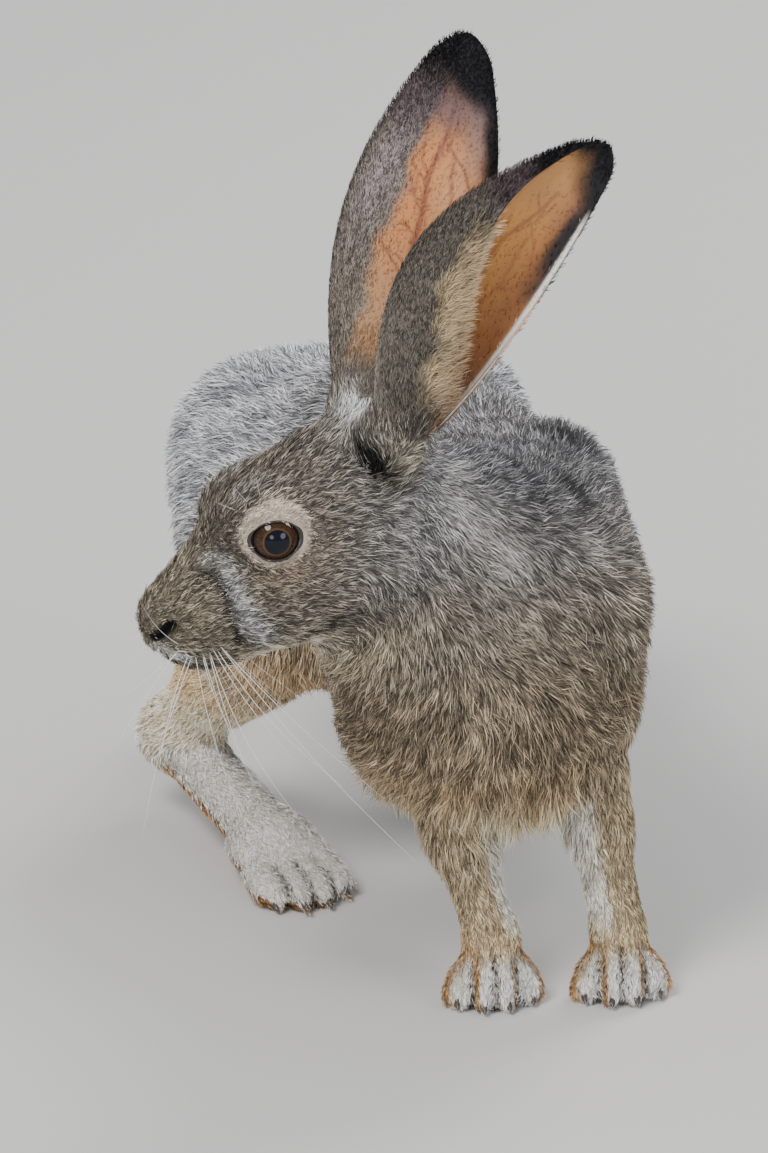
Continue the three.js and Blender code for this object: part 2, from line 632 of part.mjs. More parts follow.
// A lock of coat is flat and tapered, with its root sunk in the body. outward is away from the
// body and hang is the way it falls.
const LOCK = { length: 14, width: 12, thickness: 4, sunk: 5, sides: 5, seed: 11 };
const LOCK_STATIONS = [
  { along: -0.3, out: -LOCK.sunk, size: 0.8 },
  { along: 0.35, out: 0.4, size: 1 },
  { along: 1, out: 0.6, size: 0.14 },
];
function lock(root, outward, hang, size) {
  const across = unit(cross(outward, hang));
  const points = [];
  for (const station of LOCK_STATIONS) {
    const down = add(root, scale(hang, station.along * LOCK.length * size));
    const centre = add(down, scale(outward, station.out));
    for (let side = 0; side < LOCK.sides; side += 1) {
      const angle = (2 * Math.PI * side) / LOCK.sides;
      const wide = scale(across, (LOCK.width / 2) * size * station.size * Math.cos(angle));
      const thick = scale(outward, (LOCK.thickness / 2) * station.size * Math.sin(angle));
      points.push(add(add(centre, wide), thick));
    }
  }
  const faces = [];
  const rings = LOCK_STATIONS.length;
  for (let ring = 0; ring < rings - 1; ring += 1) {
    for (let side = 0; side < LOCK.sides; side += 1) {
      const next = (side + 1) % LOCK.sides;
      const corners = [side, next, next + LOCK.sides, side + LOCK.sides].map((n) => n + ring * LOCK.sides);
      faces.push([corners[0], corners[1], corners[2]], [corners[0], corners[2], corners[3]]);
    }
  }
  const last = (rings - 1) * LOCK.sides;
  for (let side = 1; side < LOCK.sides - 1; side += 1) {
    faces.push([0, side + 1, side], [last, last + side, last + side + 1]);
  }
  return solidFrom(points, faces);
}

// Even random numbers from 0 to 1, the same at every build
function numbersFrom(seed) {
  let state = seed;
  return () => {
    state = (Math.imul(state, 1664525) + 1013904223) >>> 0;
    return state / 2 ** 32;
  };
}

// The place where a straight line from outside first meets the body
const MARCH = { from: 90, steps: 60, share: 0.9 };
function surfaceToward(centre, direction) {
  let p = add(centre, scale(direction, MARCH.from));
  for (let step = 0; step < MARCH.steps; step += 1) {
    p = sub(p, scale(direction, MARCH.share * bodyField(p)));
  }
  return p;
}

// The shaggy fringe under the chest: rows of locks round the brisket, clear of the forelegs
const FRINGE = {
  centre: TRUNK.place([-4, -5, 96]),
  rows: [
    { below: 24, count: 12 }, { below: 41, count: 13 }, { below: 58, count: 10 }, { below: 75, count: 6 },
  ],
  spread: 84,                    // degrees to either side of straight ahead
  legRoom: 18,
  wander: 0.5,                   // share of its place in a row that a lock's root may stray over
  rise: 8,
  sway: 0.3,
  splay: 0.3,
  flatten: 0.75,                 // share of the outward part that is taken out of the fall
  sizes: { least: 0.85, range: 0.3 },
};
function fringe() {
  const random = numbersFrom(LOCK.seed);
  const legs = [FORE_LEFT, FORE_RIGHT];
  const clear = (p) => legs.every((leg) => limb(p, leg.elbow, 0, leg.middle, 0) > FRINGE.legRoom);
  const margin = (1 - FRINGE.wander) / 2;
  const locks = [];
  for (const { below, count } of FRINGE.rows) {
    for (let place = 0; place < count; place += 1) {
      const round = radians(FRINGE.spread * ((2 * (place + margin + FRINGE.wander * random())) / count - 1));
      const under = radians(below + FRINGE.rise * (random() - 0.5));
      const way = [Math.sin(round) * Math.cos(under), -Math.cos(round) * Math.cos(under), -Math.sin(under)];
      const direction = TRUNK.turn(way);
      const root = surfaceToward(FRINGE.centre, direction);
      const outward = gradient(bodyField, root);
      const sway = [FRINGE.sway * (random() - 0.5), FRINGE.sway * (random() - 0.5), -1];
      const fall = add(sway, scale(outward, FRINGE.splay));
      const hang = unit(sub(fall, scale(outward, FRINGE.flatten * dot(fall, outward))));
      const size = FRINGE.sizes.least + FRINGE.sizes.range * random();
      const tip = add(root, scale(hang, LOCK.length * size));
      if (clear(tip) && clear(root)) locks.push(lock(root, outward, hang, size));
    }
  }
  return locks;
}

// Neck and trunk
const neckBox = { low: [-115, -80, 90], high: [30, 60, 225] };
const neckSolid = polygonise(bodyField, neckBox.low, neckBox.high, CELL.neck);
const neck = cut(neckSolid, headSide(-GAP / 2), beyond(collarPoint, collarNormal), ...EARS.map(earSeat));
addNode("neck", neck, COAT.buff);

const trunkBox = { low: [-155, -60, 30], high: [60, 310, 215] };
const trunkSolid = polygonise(bodyField, trunkBox.low, trunkBox.high, CELL.trunk);
const chest = cut(
  fringe().reduce((whole, tuft) => whole.add(tuft), trunkSolid),
  headSide(-GAP / 2),
  beyond(collarPoint, scale(collarNormal, -1)),
  beyond(flankPoint, flankNormal),
);
addNode("chest", chest, COAT.buff);

// A thigh is what lies outside the flank, from a little before the knee back to the rump
const THIGHS = [
  { name: "thigh_left", side: 1, front: 100 },
  { name: "thigh_right", side: -1, front: 62 },
];
const thighBox = ({ side, front }, gap) => boxIn(
  TRUNK,
  side > 0 ? [THIGH_SIDE - gap, front - gap, -10] : [-200, front - gap, -10],
  side > 0 ? [200, 330, 260] : [-THIGH_SIDE + gap, 330, 260],
);
const hips = cut(
  trunkSolid,
  beyond(flankPoint, scale(flankNormal, -1)),
  ...THIGHS.map((thigh) => thighBox(thigh, GAP / 2)),
);
addNode("hips", hips, COAT.grey);
for (const thigh of THIGHS) {
  const rear = trunkSolid.subtract(beyond(flankPoint, scale(flankNormal, -1)));
  addNode(thigh.name, largest(rear.intersect(thighBox(thigh, -GAP / 2))), COAT.grey);
}

// What grows from the trunk starts where the trunk's skin ends, a facet's sag above it
const CLEARANCE = GAP * 3.5;
const clearance = polygonise(bodyField, trunkBox.low, trunkBox.high, CELL.trunk, CLEARANCE);

const tailBox = { low: [-125, 235, 30], high: [-55, 335, 135] };
const tail = polygonise(tailField, tailBox.low, tailBox.high, CELL.tail);
addNode("tail", cut(tail, clearance), COAT.black);

// Each toe ends in a small claw that points ahead and down
const CLAW = { back: 4, ahead: 2.4, top: 3.6, tip: 1.3, radius: 1.5, end: 0.4, sides: 5 };
function claws(ball, tips, toe) {
  return TOE_REACH.map((_, index) => {
    const line = toeLine(ball, tips, index, toe.width);
    const from = add(add(line.tip, scale(line.ahead, -CLAW.back)), [0, 0, CLAW.top]);
    const to = add(add(line.tip, scale(line.ahead, CLAW.ahead)), [0, 0, CLAW.tip]);
    const geometry = new THREE.CylinderGeometry(CLAW.end, CLAW.radius, length(sub(to, from)), CLAW.sides);
    const along = new THREE.Vector3(...unit(sub(to, from)));
    const turned = new THREE.Quaternion().setFromUnitVectors(new THREE.Vector3(0, 1, 0), along);
    geometry.applyQuaternion(turned);
    geometry.translate(...mix(from, to, 0.5));
    return solidFromGeometry(geometry);
  });
}

// Hind shins and feet, parted a little above the hock
const ANKLE = { above: 7, down: [0, 0.15, -1] };
for (const [name, leg] of [["left", HIND_LEFT], ["right", HIND_RIGHT]]) {
  const ankle = add(leg.hock, [0, 0, ANKLE.above]);
  const field = (p) => hindField(p, leg);
  const low = [0, 1, 2].map((axis) => Math.min(leg.knee[axis], leg.hock[axis]) - 28);
  const high = [0, 1, 2].map((axis) => Math.max(leg.knee[axis], leg.hock[axis]) + 28);
  const shin = polygonise(field, low, high, CELL.shin);
  addNode(`shin_${name}`, cut(shin, clearance, beyond(ankle, ANKLE.down)), COAT.rust);
  const footLow = [Math.min(leg.heel[0], leg.toes[0]) - 26, leg.toes[1] - 12, -8];
  const footHigh = [Math.max(leg.heel[0], leg.toes[0]) + 26, leg.heel[1] + 20, leg.hock[2] + 24];
  const foot = polygonise(field, footLow, footHigh, CELL.foot);
  const hindFoot = claws(leg.ball, leg.toes, HIND_TOE).reduce((whole, claw) => whole.add(claw), foot);
  const above = beyond(ankle, scale(ANKLE.down, -1));
  addNode(`hindfoot_${name}`, cut(hindFoot, above, ground, clearance), COAT.pale);
}

// Forelegs and forefeet, parted a little above the wrist
const WRIST_ABOVE = 4;
for (const [name, leg] of [["left", FORE_LEFT], ["right", FORE_RIGHT]]) {
  const wristPoint = add(leg.wrist, [0, 0, WRIST_ABOVE]);
  const axis = sub(leg.wrist, leg.middle);
  const field = (p) => foreField(p, leg);
  const low = [Math.min(leg.elbow[0], leg.wrist[0]) - 20, leg.wrist[1] - 20, 12];
  const high = [Math.max(leg.elbow[0], leg.wrist[0]) + 20, leg.elbow[1] + 22, leg.elbow[2]];
  const arm = polygonise(field, low, high, CELL.arm);
  addNode(`foreleg_${name}`, cut(arm, clearance, beyond(wristPoint, axis)), COAT.rust);
  const pawLow = [leg.toes[0] - 26, leg.toes[1] - 8, -8];
  const pawHigh = [leg.toes[0] + 24, leg.wrist[1] + 20, leg.wrist[2] + 14];
  const paw = polygonise(field, pawLow, pawHigh, CELL.paw);
  const palm = palmEnd(leg);
  const forePaw = claws(palm, leg.toes, FORE_TOE).reduce((whole, claw) => whole.add(claw), paw);
  addNode(`forepaw_${name}`, cut(forePaw, beyond(wristPoint, scale(axis, -1)), ground), COAT.pale);
}

export default group;
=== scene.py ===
"""A life-size black-tailed jackrabbit, stepping with its head turned to its right.

Metres, +Z up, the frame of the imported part. The skin is one closed surface that stands a coat's depth
inside the part's pieces: skin = smooth(remesh(union of the pieces)) - depth(place) * normal.
The coat is blades of hair: each root is a random place on the skin, and the blade runs along
lie(place) = the flow of the nearest limbs, laid flat on the skin and lifted by an angle.
Its tip leans to the tip of its clump, the nearest of many random points.
"""

import math

import bmesh
import bpy
import numpy as np
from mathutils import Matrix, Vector


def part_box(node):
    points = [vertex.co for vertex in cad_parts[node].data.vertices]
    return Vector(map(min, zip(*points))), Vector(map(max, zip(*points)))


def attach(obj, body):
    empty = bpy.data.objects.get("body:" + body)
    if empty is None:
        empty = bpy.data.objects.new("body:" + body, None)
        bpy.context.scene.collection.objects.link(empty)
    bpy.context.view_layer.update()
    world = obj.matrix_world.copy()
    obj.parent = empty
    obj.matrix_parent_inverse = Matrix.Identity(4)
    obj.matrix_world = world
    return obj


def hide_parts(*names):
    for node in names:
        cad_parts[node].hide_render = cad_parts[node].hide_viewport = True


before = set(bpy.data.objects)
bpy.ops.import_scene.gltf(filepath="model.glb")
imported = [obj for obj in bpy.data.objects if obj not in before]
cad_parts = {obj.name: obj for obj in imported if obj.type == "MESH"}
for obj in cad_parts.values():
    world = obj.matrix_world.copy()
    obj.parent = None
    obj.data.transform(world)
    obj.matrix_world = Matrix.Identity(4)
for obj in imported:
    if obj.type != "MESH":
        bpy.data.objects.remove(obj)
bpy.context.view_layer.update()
MM = 0.001

# Studio: a pale floor, a large soft key from the upper left, two windows low in front and a light
# from behind, with a camera where the photographer stood. None of it is the hare.
def area_light(name, place, aim_height, size, watts, colour):
    """A round lamp at place that looks at the hare's middle, at the given height."""
    data = bpy.data.lights.new(name, "AREA")
    data.shape, data.size, data.energy, data.color = "DISK", size, watts, colour
    lamp = bpy.data.objects.new(name, data)
    lamp.location = place
    lamp.rotation_euler = (Vector((0, 0, aim_height)) - Vector(place)).to_track_quat("-Z", "Y").to_euler()
    bpy.context.collection.objects.link(lamp)


area_light("key", (-0.95, -1.45, 2.0), 0.14, 1.0, 52, (1.0, 0.97, 0.93))
area_light("window_front", (-0.43, -2.6, 0.72), 0.14, 0.8, 11, (0.94, 0.97, 1.0))
area_light("window_side", (1.76, -1.83, 0.75), 0.14, 1.1, 19, (0.90, 0.95, 1.0))
area_light("rim", (0.8, 1.4, 1.6), 0.16, 0.9, 26, (1.0, 0.98, 0.95))
world = bpy.data.worlds.new("studio")
world.use_nodes = True
world.node_tree.nodes["Background"].inputs["Color"].default_value = (0.91, 0.945, 1.0, 1)
world.node_tree.nodes["Background"].inputs["Strength"].default_value = 0.6
bpy.context.scene.world = world

CAMERA_PLACE, CAMERA_TILT = (-0.0046, -2.9832, 1.07505), math.radians(72)
LENS, SENSOR = 284.8, 36
camera_data = bpy.data.cameras.new("camera")
camera_data.lens, camera_data.sensor_width = LENS, SENSOR
camera = bpy.data.objects.new("camera", camera_data)
camera.location = CAMERA_PLACE
camera.rotation_euler = (CAMERA_TILT, 0, 0)
bpy.context.collection.objects.link(camera)
bpy.context.scene.camera = camera


class Socket:
    """A shader value that takes + * / ** with numbers and with other values."""

    def __init__(self, nodes, socket):
        self.nodes, self.socket = nodes, socket

    def maths(self, operation, other, swap=False):
        """The named operation on this value and another, or on the other and this one."""
        pair = [other, self] if swap else [self, other]
        return self.nodes.add("ShaderNodeMath", {"operation": operation}, dict(enumerate(pair)))

    def __add__(self, other): return self.maths("ADD", other)
    def __radd__(self, other): return self.maths("ADD", other, True)
    def __mul__(self, other): return self.maths("MULTIPLY", other)
    def __rmul__(self, other): return self.maths("MULTIPLY", other, True)
    def __truediv__(self, other): return self.maths("DIVIDE", other)
    def __rtruediv__(self, other): return self.maths("DIVIDE", other, True)
    def __pow__(self, other): return self.maths("POWER", other)
    def __rpow__(self, other): return self.maths("POWER", other, True)


class Nodes:
    """The nodes of one material, whose shader starts with the given constants."""

    def __init__(self, name, **constants):
        self.material = bpy.data.materials.new(name)
        self.material.use_nodes = True
        self.tree = self.material.node_tree
        self.shader = self.tree.nodes["Principled BSDF"]
        self.set(**constants)

    def add(self, kind, settings=None, inputs=None, output=0):
        """Any node: its type, its settings, the values or links of its sockets, and the output asked for."""
        node = self.tree.nodes.new(kind)
        for key, value in (settings or {}).items():
            setattr(node, key, value)
        for key, value in (inputs or {}).items():
            self.feed(node.inputs[key], value)
        return Socket(self, node.outputs[output])

    def feed(self, socket, value):
        """Links a value to a socket, or sets the socket's own number."""
        if isinstance(value, Socket):
            self.tree.links.new(value.socket, socket)
        else:
            socket.default_value = value

    def set(self, **inputs):
        """Feeds the shader's own sockets, named with _ for a space. A colour is three numbers."""
        for key, value in inputs.items():
            if isinstance(value, tuple):
                value = (*value, 1)
            self.feed(self.shader.inputs[key.replace("_", " ")], value)
        return self

    def tint(self):
        """The colour painted on the piece's own points."""
        return self.add("ShaderNodeAttribute", {"attribute_name": "Tint"}, output="Color")

    def mix(self, factor, a, b):
        """Colour a where factor is 0 and colour b where it is 1."""
        names = {"Factor": factor, "A": a, "B": b}
        node = self.tree.nodes.new("ShaderNodeMix")
        node.data_type = "RGBA"
        for socket in node.inputs:
            if socket.name in names and socket.enabled:
                value = names[socket.name]
                self.feed(socket, (*value, 1) if isinstance(value, tuple) else value)
        return Socket(self, next(s for s in node.outputs if s.enabled))

    def smooth(self, low, high, value):
        """0 at low, 1 at high, and t^2 (3 - 2 t) between."""
        settings = {"interpolation_type": "SMOOTHSTEP"}
        return self.add("ShaderNodeMapRange", settings, {"Value": value, "From Min": low, "From Max": high})

    def place(self):
        """Metres from the middle of the frame."""
        return self.add("ShaderNodeTexCoord", output="Object")

    def noise(self, scale, detail, place):
        """Soft random values from 0 to 1, about scale of them to the metre, in a number of finer layers."""
        return self.add("ShaderNodeTexNoise", None, {"Vector": place, "Scale": scale, "Detail": detail})

    def bump(self, height, strength, distance):
        """Feeds Normal with the slope of height, distance metres high."""
        inputs = {"Height": height, "Strength": strength, "Distance": distance}
        return self.set(Normal=self.add("ShaderNodeBump", None, inputs, output="Normal"))


def new_object(name, vertices, faces, material, smooth=True):
    """A mesh object from arrays: faces is one array with the same number of corners in every row."""
    vertices, faces = np.asarray(vertices, np.float32), np.asarray(faces, np.int32)
    mesh = bpy.data.meshes.new(name)
    mesh.vertices.add(len(vertices))
    mesh.vertices.foreach_set("co", vertices.ravel())
    mesh.loops.add(faces.size)
    mesh.loops.foreach_set("vertex_index", faces.ravel())
    mesh.polygons.add(len(faces))
    mesh.polygons.foreach_set("loop_start", np.arange(len(faces), dtype=np.int32) * faces.shape[1])
    mesh.update(calc_edges=True)
    mesh.validate()
    if smooth:
        mesh.shade_smooth()
    made = bpy.data.objects.new(name, mesh)
    bpy.context.collection.objects.link(made)
    mesh.materials.append(material)
    return made


def paint_points(obj, colours):
    """One colour for each point of the piece, in its Tint attribute."""
    layer = obj.data.color_attributes.new("Tint", "FLOAT_COLOR", "POINT")
    rgba = np.ones((len(colours), 4), np.float32)
    rgba[:, :3] = colours
    layer.data.foreach_set("color", rgba.ravel())


floor_look = Nodes("floor_paint", Base_Color=(0.62, 0.61, 0.60), Roughness=0.85, Specular_IOR_Level=0.2)
FLOOR_HALF = 6
floor_corners = FLOOR_HALF * np.array([[-1, -1, 0], [1, -1, 0], [1, 1, 0], [-1, 1, 0]])
floor = new_object("studio_floor", floor_corners, [[0, 1, 2, 3]], floor_look.material, smooth=False)

# Skin: the hide of a hare, one piece over head, neck, trunk, legs and tail. It is made from the
# part's own pieces, joined and smoothed, and stands a coat's depth inside them. The folds of the
# face, the lids' opening and the clefts between the toes are pressed into it.
# The head's axes are forward, left and up. They go through the middle of the part's two eyes.
HEAD_YAW, HEAD_PITCH, EYE_UP = math.radians(10), math.radians(31), 7 * MM


def middle(node):
    """The middle of a node's box: half of its low corner and its high corner together."""
    low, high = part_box(node)
    return (np.array(low) + np.array(high)) / 2


EYES = {1: middle("eye_left"), -1: middle("eye_right")}
EYE_RADIUS = float(np.ptp(np.array(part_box("eye_left")), axis=0).max()) / 2
FORWARD = -np.array([
    math.cos(HEAD_YAW) * math.cos(HEAD_PITCH),
    math.sin(HEAD_YAW) * math.cos(HEAD_PITCH),
    math.sin(HEAD_PITCH),
])
LEFT = np.cross([0, 0, 1], FORWARD)
LEFT /= np.linalg.norm(LEFT)
UP = np.cross(FORWARD, LEFT)
HEAD_AXES = np.array([FORWARD, LEFT, UP])
HEAD_CENTRE = (EYES[1] + EYES[-1]) / 2 - UP * EYE_UP


def head_local(p):
    """Millimetres forward, left and up from the middle of the head."""
    return (p - HEAD_CENTRE) @ HEAD_AXES.T / MM


def head_place(q):
    """The place in the model of q, which is in millimetres along the head's axes."""
    return HEAD_CENTRE + np.asarray(q, float) * MM @ HEAD_AXES


def unit(v):
    """Each row of v divided by its length."""
    return v / np.maximum(np.linalg.norm(v, axis=-1, keepdims=True), 1e-12)


def smoothstep(low, high, x):
    """0 at low, 1 at high and t^2 (3 - 2 t) between, where t is the share of the way."""
    t = np.clip((x - low) / (high - low), 0, 1)
    return t * t * (3 - 2 * t)


FLESH = [
    "head", "neck", "chest", "hips", "thigh_left", "thigh_right", "tail", "shin_left", "shin_right",
    "hindfoot_left", "hindfoot_right", "foreleg_left", "foreleg_right", "forepaw_left", "forepaw_right",
]
SEAM_FILL = 0.45 * MM            # closes the cuts between the part's pieces
VOXEL = 2.05 * MM
SKIN_SHADE = 0.75                # how much darker the skin is than the hair on it
# The trunk's axes are out to the left and back along the spine, from a place under the shoulders
BODY_TURN = math.radians(15)
BACK = np.array([-math.sin(BODY_TURN), math.cos(BODY_TURN), 0])
OUT = np.array([BACK[1], -BACK[0], 0])
DOWN = np.array([0, 0, -1.0])
SHOULDERS = np.array([33, -90, 0])


def trunk(out, back, up):
    """Millimetres in the model of a place that is out, back and up from under the shoulders."""
    return tuple(SHOULDERS + OUT * out + BACK * back + (0, 0, up))


def on_head(a, s, b):
    """Millimetres in the model of a place that is forward, left and up on the head."""
    return tuple(head_place((a, s, b)) / MM)


# Stretches of the body, in millimetres: ends, radius, lie of the hair, then its length, lift in degrees,
# width, number on a square millimetre and the depth of coat that it makes.
ALONG, SWEPT, HAM = None, BACK * 0.8 + DOWN * 0.6, BACK * 0.7 + DOWN * 0.7
FACE = -FORWARD * 0.95 - UP * 0.22
STRETCHES = [
    (on_head(46, 0, -4), on_head(34, 0, -6), 12, FACE, 2.5, 24, 0.24, 5.58, 0.6),
    (on_head(26, 0, -4), on_head(4, 0, -2), 20, FACE, 3.4, 23, 0.26, 4.84, 1.0),
    (on_head(-6, 0, 4), on_head(-38, 0, 2), 23, FACE, 4.0, 25, 0.29, 3.72, 1.4),
    (on_head(8, 0, -18), on_head(-22, 0, -16), 20, FACE, 4.2, 24, 0.29, 3.63, 1.3),
    (on_head(-52, 0, -6), (24, -92, 148), 34, SWEPT, 6.8, 24, 0.32, 2.79, 2.5),
    (on_head(-40, 0, -30), (26, -112, 120), 34, SWEPT, 7.0, 24, 0.32, 2.79, 2.6),
    (trunk(0, 0, 120), trunk(2, 84, 122), 52, SWEPT, 7.8, 21, 0.35, 2.05, 2.8),
    (trunk(2, 84, 116), trunk(0, 190, 106), 54, SWEPT, 7.8, 21, 0.37, 1.72, 2.8),
    (trunk(-2, -16, 110), trunk(-4, -14, 78), 42, SWEPT, 8.6, 25, 0.34, 2.51, 3.1),
    (trunk(-1, 60, 84), trunk(-1, 130, 92), 36, SWEPT, 9.5, 22, 0.45, 1.3, 3.0),
    ((8, 102, 126), (50, 44, 78), 34, HAM, 8.2, 22, 0.42, 1.58, 2.8),
    ((-42, 84, 122), (-40, -18, 98), 32, HAM, 8.0, 22, 0.40, 1.77, 2.7),
    ((50, 44, 70), (26, 162, 24), 18, ALONG, 6.0, 21, 0.38, 1.67, 1.8),
    ((-40, -18, 94), (-77, 54, 36), 18, ALONG, 5.0, 21, 0.32, 2.05, 1.5),
    ((24, 172, 15), (48, 82, 12), 12, ALONG, 4.6, 20, 0.34, 1.67, 1.3),
    ((48, 82, 12), (56, 48, 2), 13, ALONG, 3.6, 20, 0.30, 2.23, 0.9),
    ((-79, 58, 29), (-43, -11, 15), 12, ALONG, 4.0, 20, 0.30, 2.23, 1.1),
    ((-43, -11, 14), (-27, -50, 2), 13, ALONG, 3.2, 20, 0.27, 2.88, 0.8),
    ((61, -99, 104), (67, -116, 60), 15, ALONG, 4.6, 17, 0.30, 3.16, 1.5),
    ((67, -116, 60), (73.5, -121, 22), 10, ALONG, 3.0, 16, 0.26, 3.91, 0.9),
    ((73.5, -121, 20), (75.5, -146, 2), 11, ALONG, 2.8, 20, 0.26, 4.28, 0.7),
    ((7, -101, 104), (21, -121, 58), 15, ALONG, 4.6, 17, 0.30, 3.16, 1.5),
    ((21, -121, 58), (31, -126, 22), 10, ALONG, 3.0, 16, 0.26, 3.91, 0.9),
    ((31, -126, 20), (33, -152, 2), 11, ALONG, 2.8, 20, 0.26, 4.28, 0.7),
    ((-28, 136, 108), (-42, 187, 52), 12, ALONG, 11.0, 26, 0.45, 1.77, 2.6),
    (on_head(-42, 12, 2), on_head(-54, 14, 22), 13, ALONG, 4.2, 26, 0.29, 3.72, 1.4),
    (on_head(-40, -12, 5), on_head(-50, -14, 26), 13, ALONG, 4.2, 26, 0.29, 3.72, 1.4),
]
STRETCH_ENDS = np.array([[row[0], row[1]] for row in STRETCHES], float) * MM
STRETCH_LIES = unit(np.array([
    np.subtract(row[1], row[0]) if row[3] is ALONG else row[3] for row in STRETCHES
], float))
STRETCH_SIZES = np.array([row[4:] for row in STRETCHES], float)
LENGTH, LIFT, WIDTH, DENSITY, DEPTH = range(5)
NOSE_TIP = head_place((53, 0, 0))


def segment_distance(p, a, b):
    """Distance of each p to the nearest place between a and b."""
    along = np.clip((p - a) @ (b - a) / ((b - a) @ (b - a)), 0, 1)
    return np.linalg.norm(p - a - along[:, None] * (b - a), axis=1)


def stretch_weights(p):
    """How much each stretch counts at p: exp(-4 (distance / radius)^2), shared out to 1."""
    weights = np.stack([
        np.exp(-4 * (segment_distance(p, a, b) / (row[2] * MM)) ** 2)
        for (a, b), row in zip(STRETCH_ENDS, STRETCHES)
    ], 1) + 1e-12
    return weights / weights.sum(1, keepdims=True)


def lie_of_coat(p, normals, weights):
    """Unit vectors along the skin: the stretches' lie, turned out from the nose tip and round the eyes."""
    lie = weights @ STRETCH_LIES
    from_nose = p - NOSE_TIP
    near = np.exp(-np.linalg.norm(from_nose, axis=1) / (9 * MM))[:, None]
    lie = lie * (1 - near) + unit(from_nose) * near
    for centre in EYES.values():
        away = p - centre
        reach = np.linalg.norm(away, axis=1)[:, None]
        lie = lie + unit(away) * 1.3 * np.exp(-np.maximum(reach - 10 * MM, 0) / (4 * MM))
    lie = lie - (lie * normals).sum(1, keepdims=True) * normals
    return unit(lie)


def evaluated_mesh(obj):
    """A bmesh of the object with its modifiers applied."""
    made = bmesh.new()
    made.from_object(obj, bpy.context.evaluated_depsgraph_get())
    return made


def arrays(mesh):
    """Points and corner numbers of a mesh of triangles."""
    points = np.empty(len(mesh.vertices) * 3, np.float32)
    mesh.vertices.foreach_get("co", points)
    corners = np.empty(len(mesh.loops), np.int32)
    mesh.loops.foreach_get("vertex_index", corners)
    return points.reshape(-1, 3).astype(float), corners.reshape(-1, 3)


def scatter(index, values, count):
    """Sum of the rows of values by index."""
    return np.stack([np.bincount(index, values[:, k], count) for k in range(values.shape[1])], 1)


def vertex_normals(points, faces):
    """Unit normals, each the area-weighted sum of the faces round its vertex."""
    crossed = np.cross(points[faces[:, 1]] - points[faces[:, 0]], points[faces[:, 2]] - points[faces[:, 0]])
    return unit(scatter(faces.ravel(), np.repeat(crossed, 3, axis=0), len(points)))


def smooth_out(points, faces, amount, rounds):
    """Laplacian smoothing with a step back, so that the volume stays. amount is for each vertex."""
    ends = np.concatenate([faces[:, [0, 1]], faces[:, [1, 2]], faces[:, [2, 0]]])
    ends = np.concatenate([ends, ends[:, ::-1]])
    count = np.bincount(ends[:, 0], minlength=len(points))[:, None]
    for step in [0.5, -0.53] * rounds:
        mean = scatter(ends[:, 0], points[ends[:, 1]], len(points)) / count
        points = points + step * amount * (mean - points)
    return points


# The chest's underside: an oval bowl, open where the forelegs leave it
LEG_TOPS, LEG_ROOM, LEG_DROP = [(66, -112), (18, -115)], 13, 40
BOWL_EDGE, BOWL_DEPTH, BOWL_MIDDLE, BOWL_RADII = 85, 27, (-4, -5), (49, 43)


def under_chest(place):
    """Height of the chest's underside in millimetres, above the tips of the part's fringe:
    edge - depth sqrt(1 - (out / radius)^2 - (back / radius)^2) - drop exp(-(way to a leg / room)^4)."""
    off = np.array(place) - SHOULDERS
    out, back = (off @ OUT - BOWL_MIDDLE[0]) / BOWL_RADII[0], (off @ BACK - BOWL_MIDDLE[1]) / BOWL_RADII[1]
    near_leg = min(math.dist(place[:2], top) for top in LEG_TOPS)
    bowl = BOWL_DEPTH * math.sqrt(max(0, 1 - out ** 2 - back ** 2))
    return BOWL_EDGE - bowl - LEG_DROP * math.exp(-(near_leg / LEG_ROOM) ** 4)


flesh = bmesh.new()
for name in FLESH:
    piece = bmesh.new()
    piece.from_mesh(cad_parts[name].data)
    bmesh.ops.remove_doubles(piece, verts=piece.verts, dist=0.02 * MM)
    piece.normal_update()
    for vertex in piece.verts:
        vertex.co += vertex.normal * SEAM_FILL
        if name == "chest":
            vertex.co.z = max(vertex.co.z, under_chest(vertex.co / MM) * MM)
    part_mesh = bpy.data.meshes.new("flesh")
    piece.to_mesh(part_mesh)
    flesh.from_mesh(part_mesh)
    bpy.data.meshes.remove(part_mesh)
flesh_mesh = bpy.data.meshes.new("flesh")
flesh.to_mesh(flesh_mesh)
flesh_object = bpy.data.objects.new("flesh", flesh_mesh)
bpy.context.collection.objects.link(flesh_object)
remesh = flesh_object.modifiers.new("remesh", "REMESH")
remesh.mode, remesh.voxel_size = "VOXEL", VOXEL
hide = evaluated_mesh(flesh_object)
bpy.data.objects.remove(flesh_object)
bpy.data.meshes.remove(flesh_mesh)
# Finer faces in front of a place on the muzzle and within a circle round the eyes, in two steps
MUZZLE_AND_EYES = [(14, 22), (36, 13)]
hide.verts.ensure_lookup_table()
for ahead, round_eye in MUZZLE_AND_EYES:
    places = head_local(np.array([vertex.co for vertex in hide.verts]))
    on_face = np.abs(places[:, 1]) < 26
    fine = on_face & (places[:, 0] > ahead) & (places[:, 0] < 60) & (np.abs(places[:, 2]) < 36)
    fine |= on_face & (np.hypot(places[:, 0], places[:, 2] - 7.5) < round_eye)
    hide.verts.index_update()
    edges = [edge for edge in hide.edges if fine[edge.verts[0].index] and fine[edge.verts[1].index]]
    bmesh.ops.subdivide_edges(hide, edges=edges, cuts=1, use_grid_fill=True)
bmesh.ops.triangulate(hide, faces=hide.faces)
hide_mesh = bpy.data.meshes.new("skin")
hide.to_mesh(hide_mesh)
skin_points, skin_faces = arrays(hide_mesh)
places = head_local(skin_points)
facial = (np.abs(places) < (60, 28, 40)).all(1) & (places[:, 0] > -14)
footed = smoothstep(34, 22, skin_points[:, 2] / MM)
calm = np.where(facial, 0.75, 1 - 0.6 * footed)[:, None]
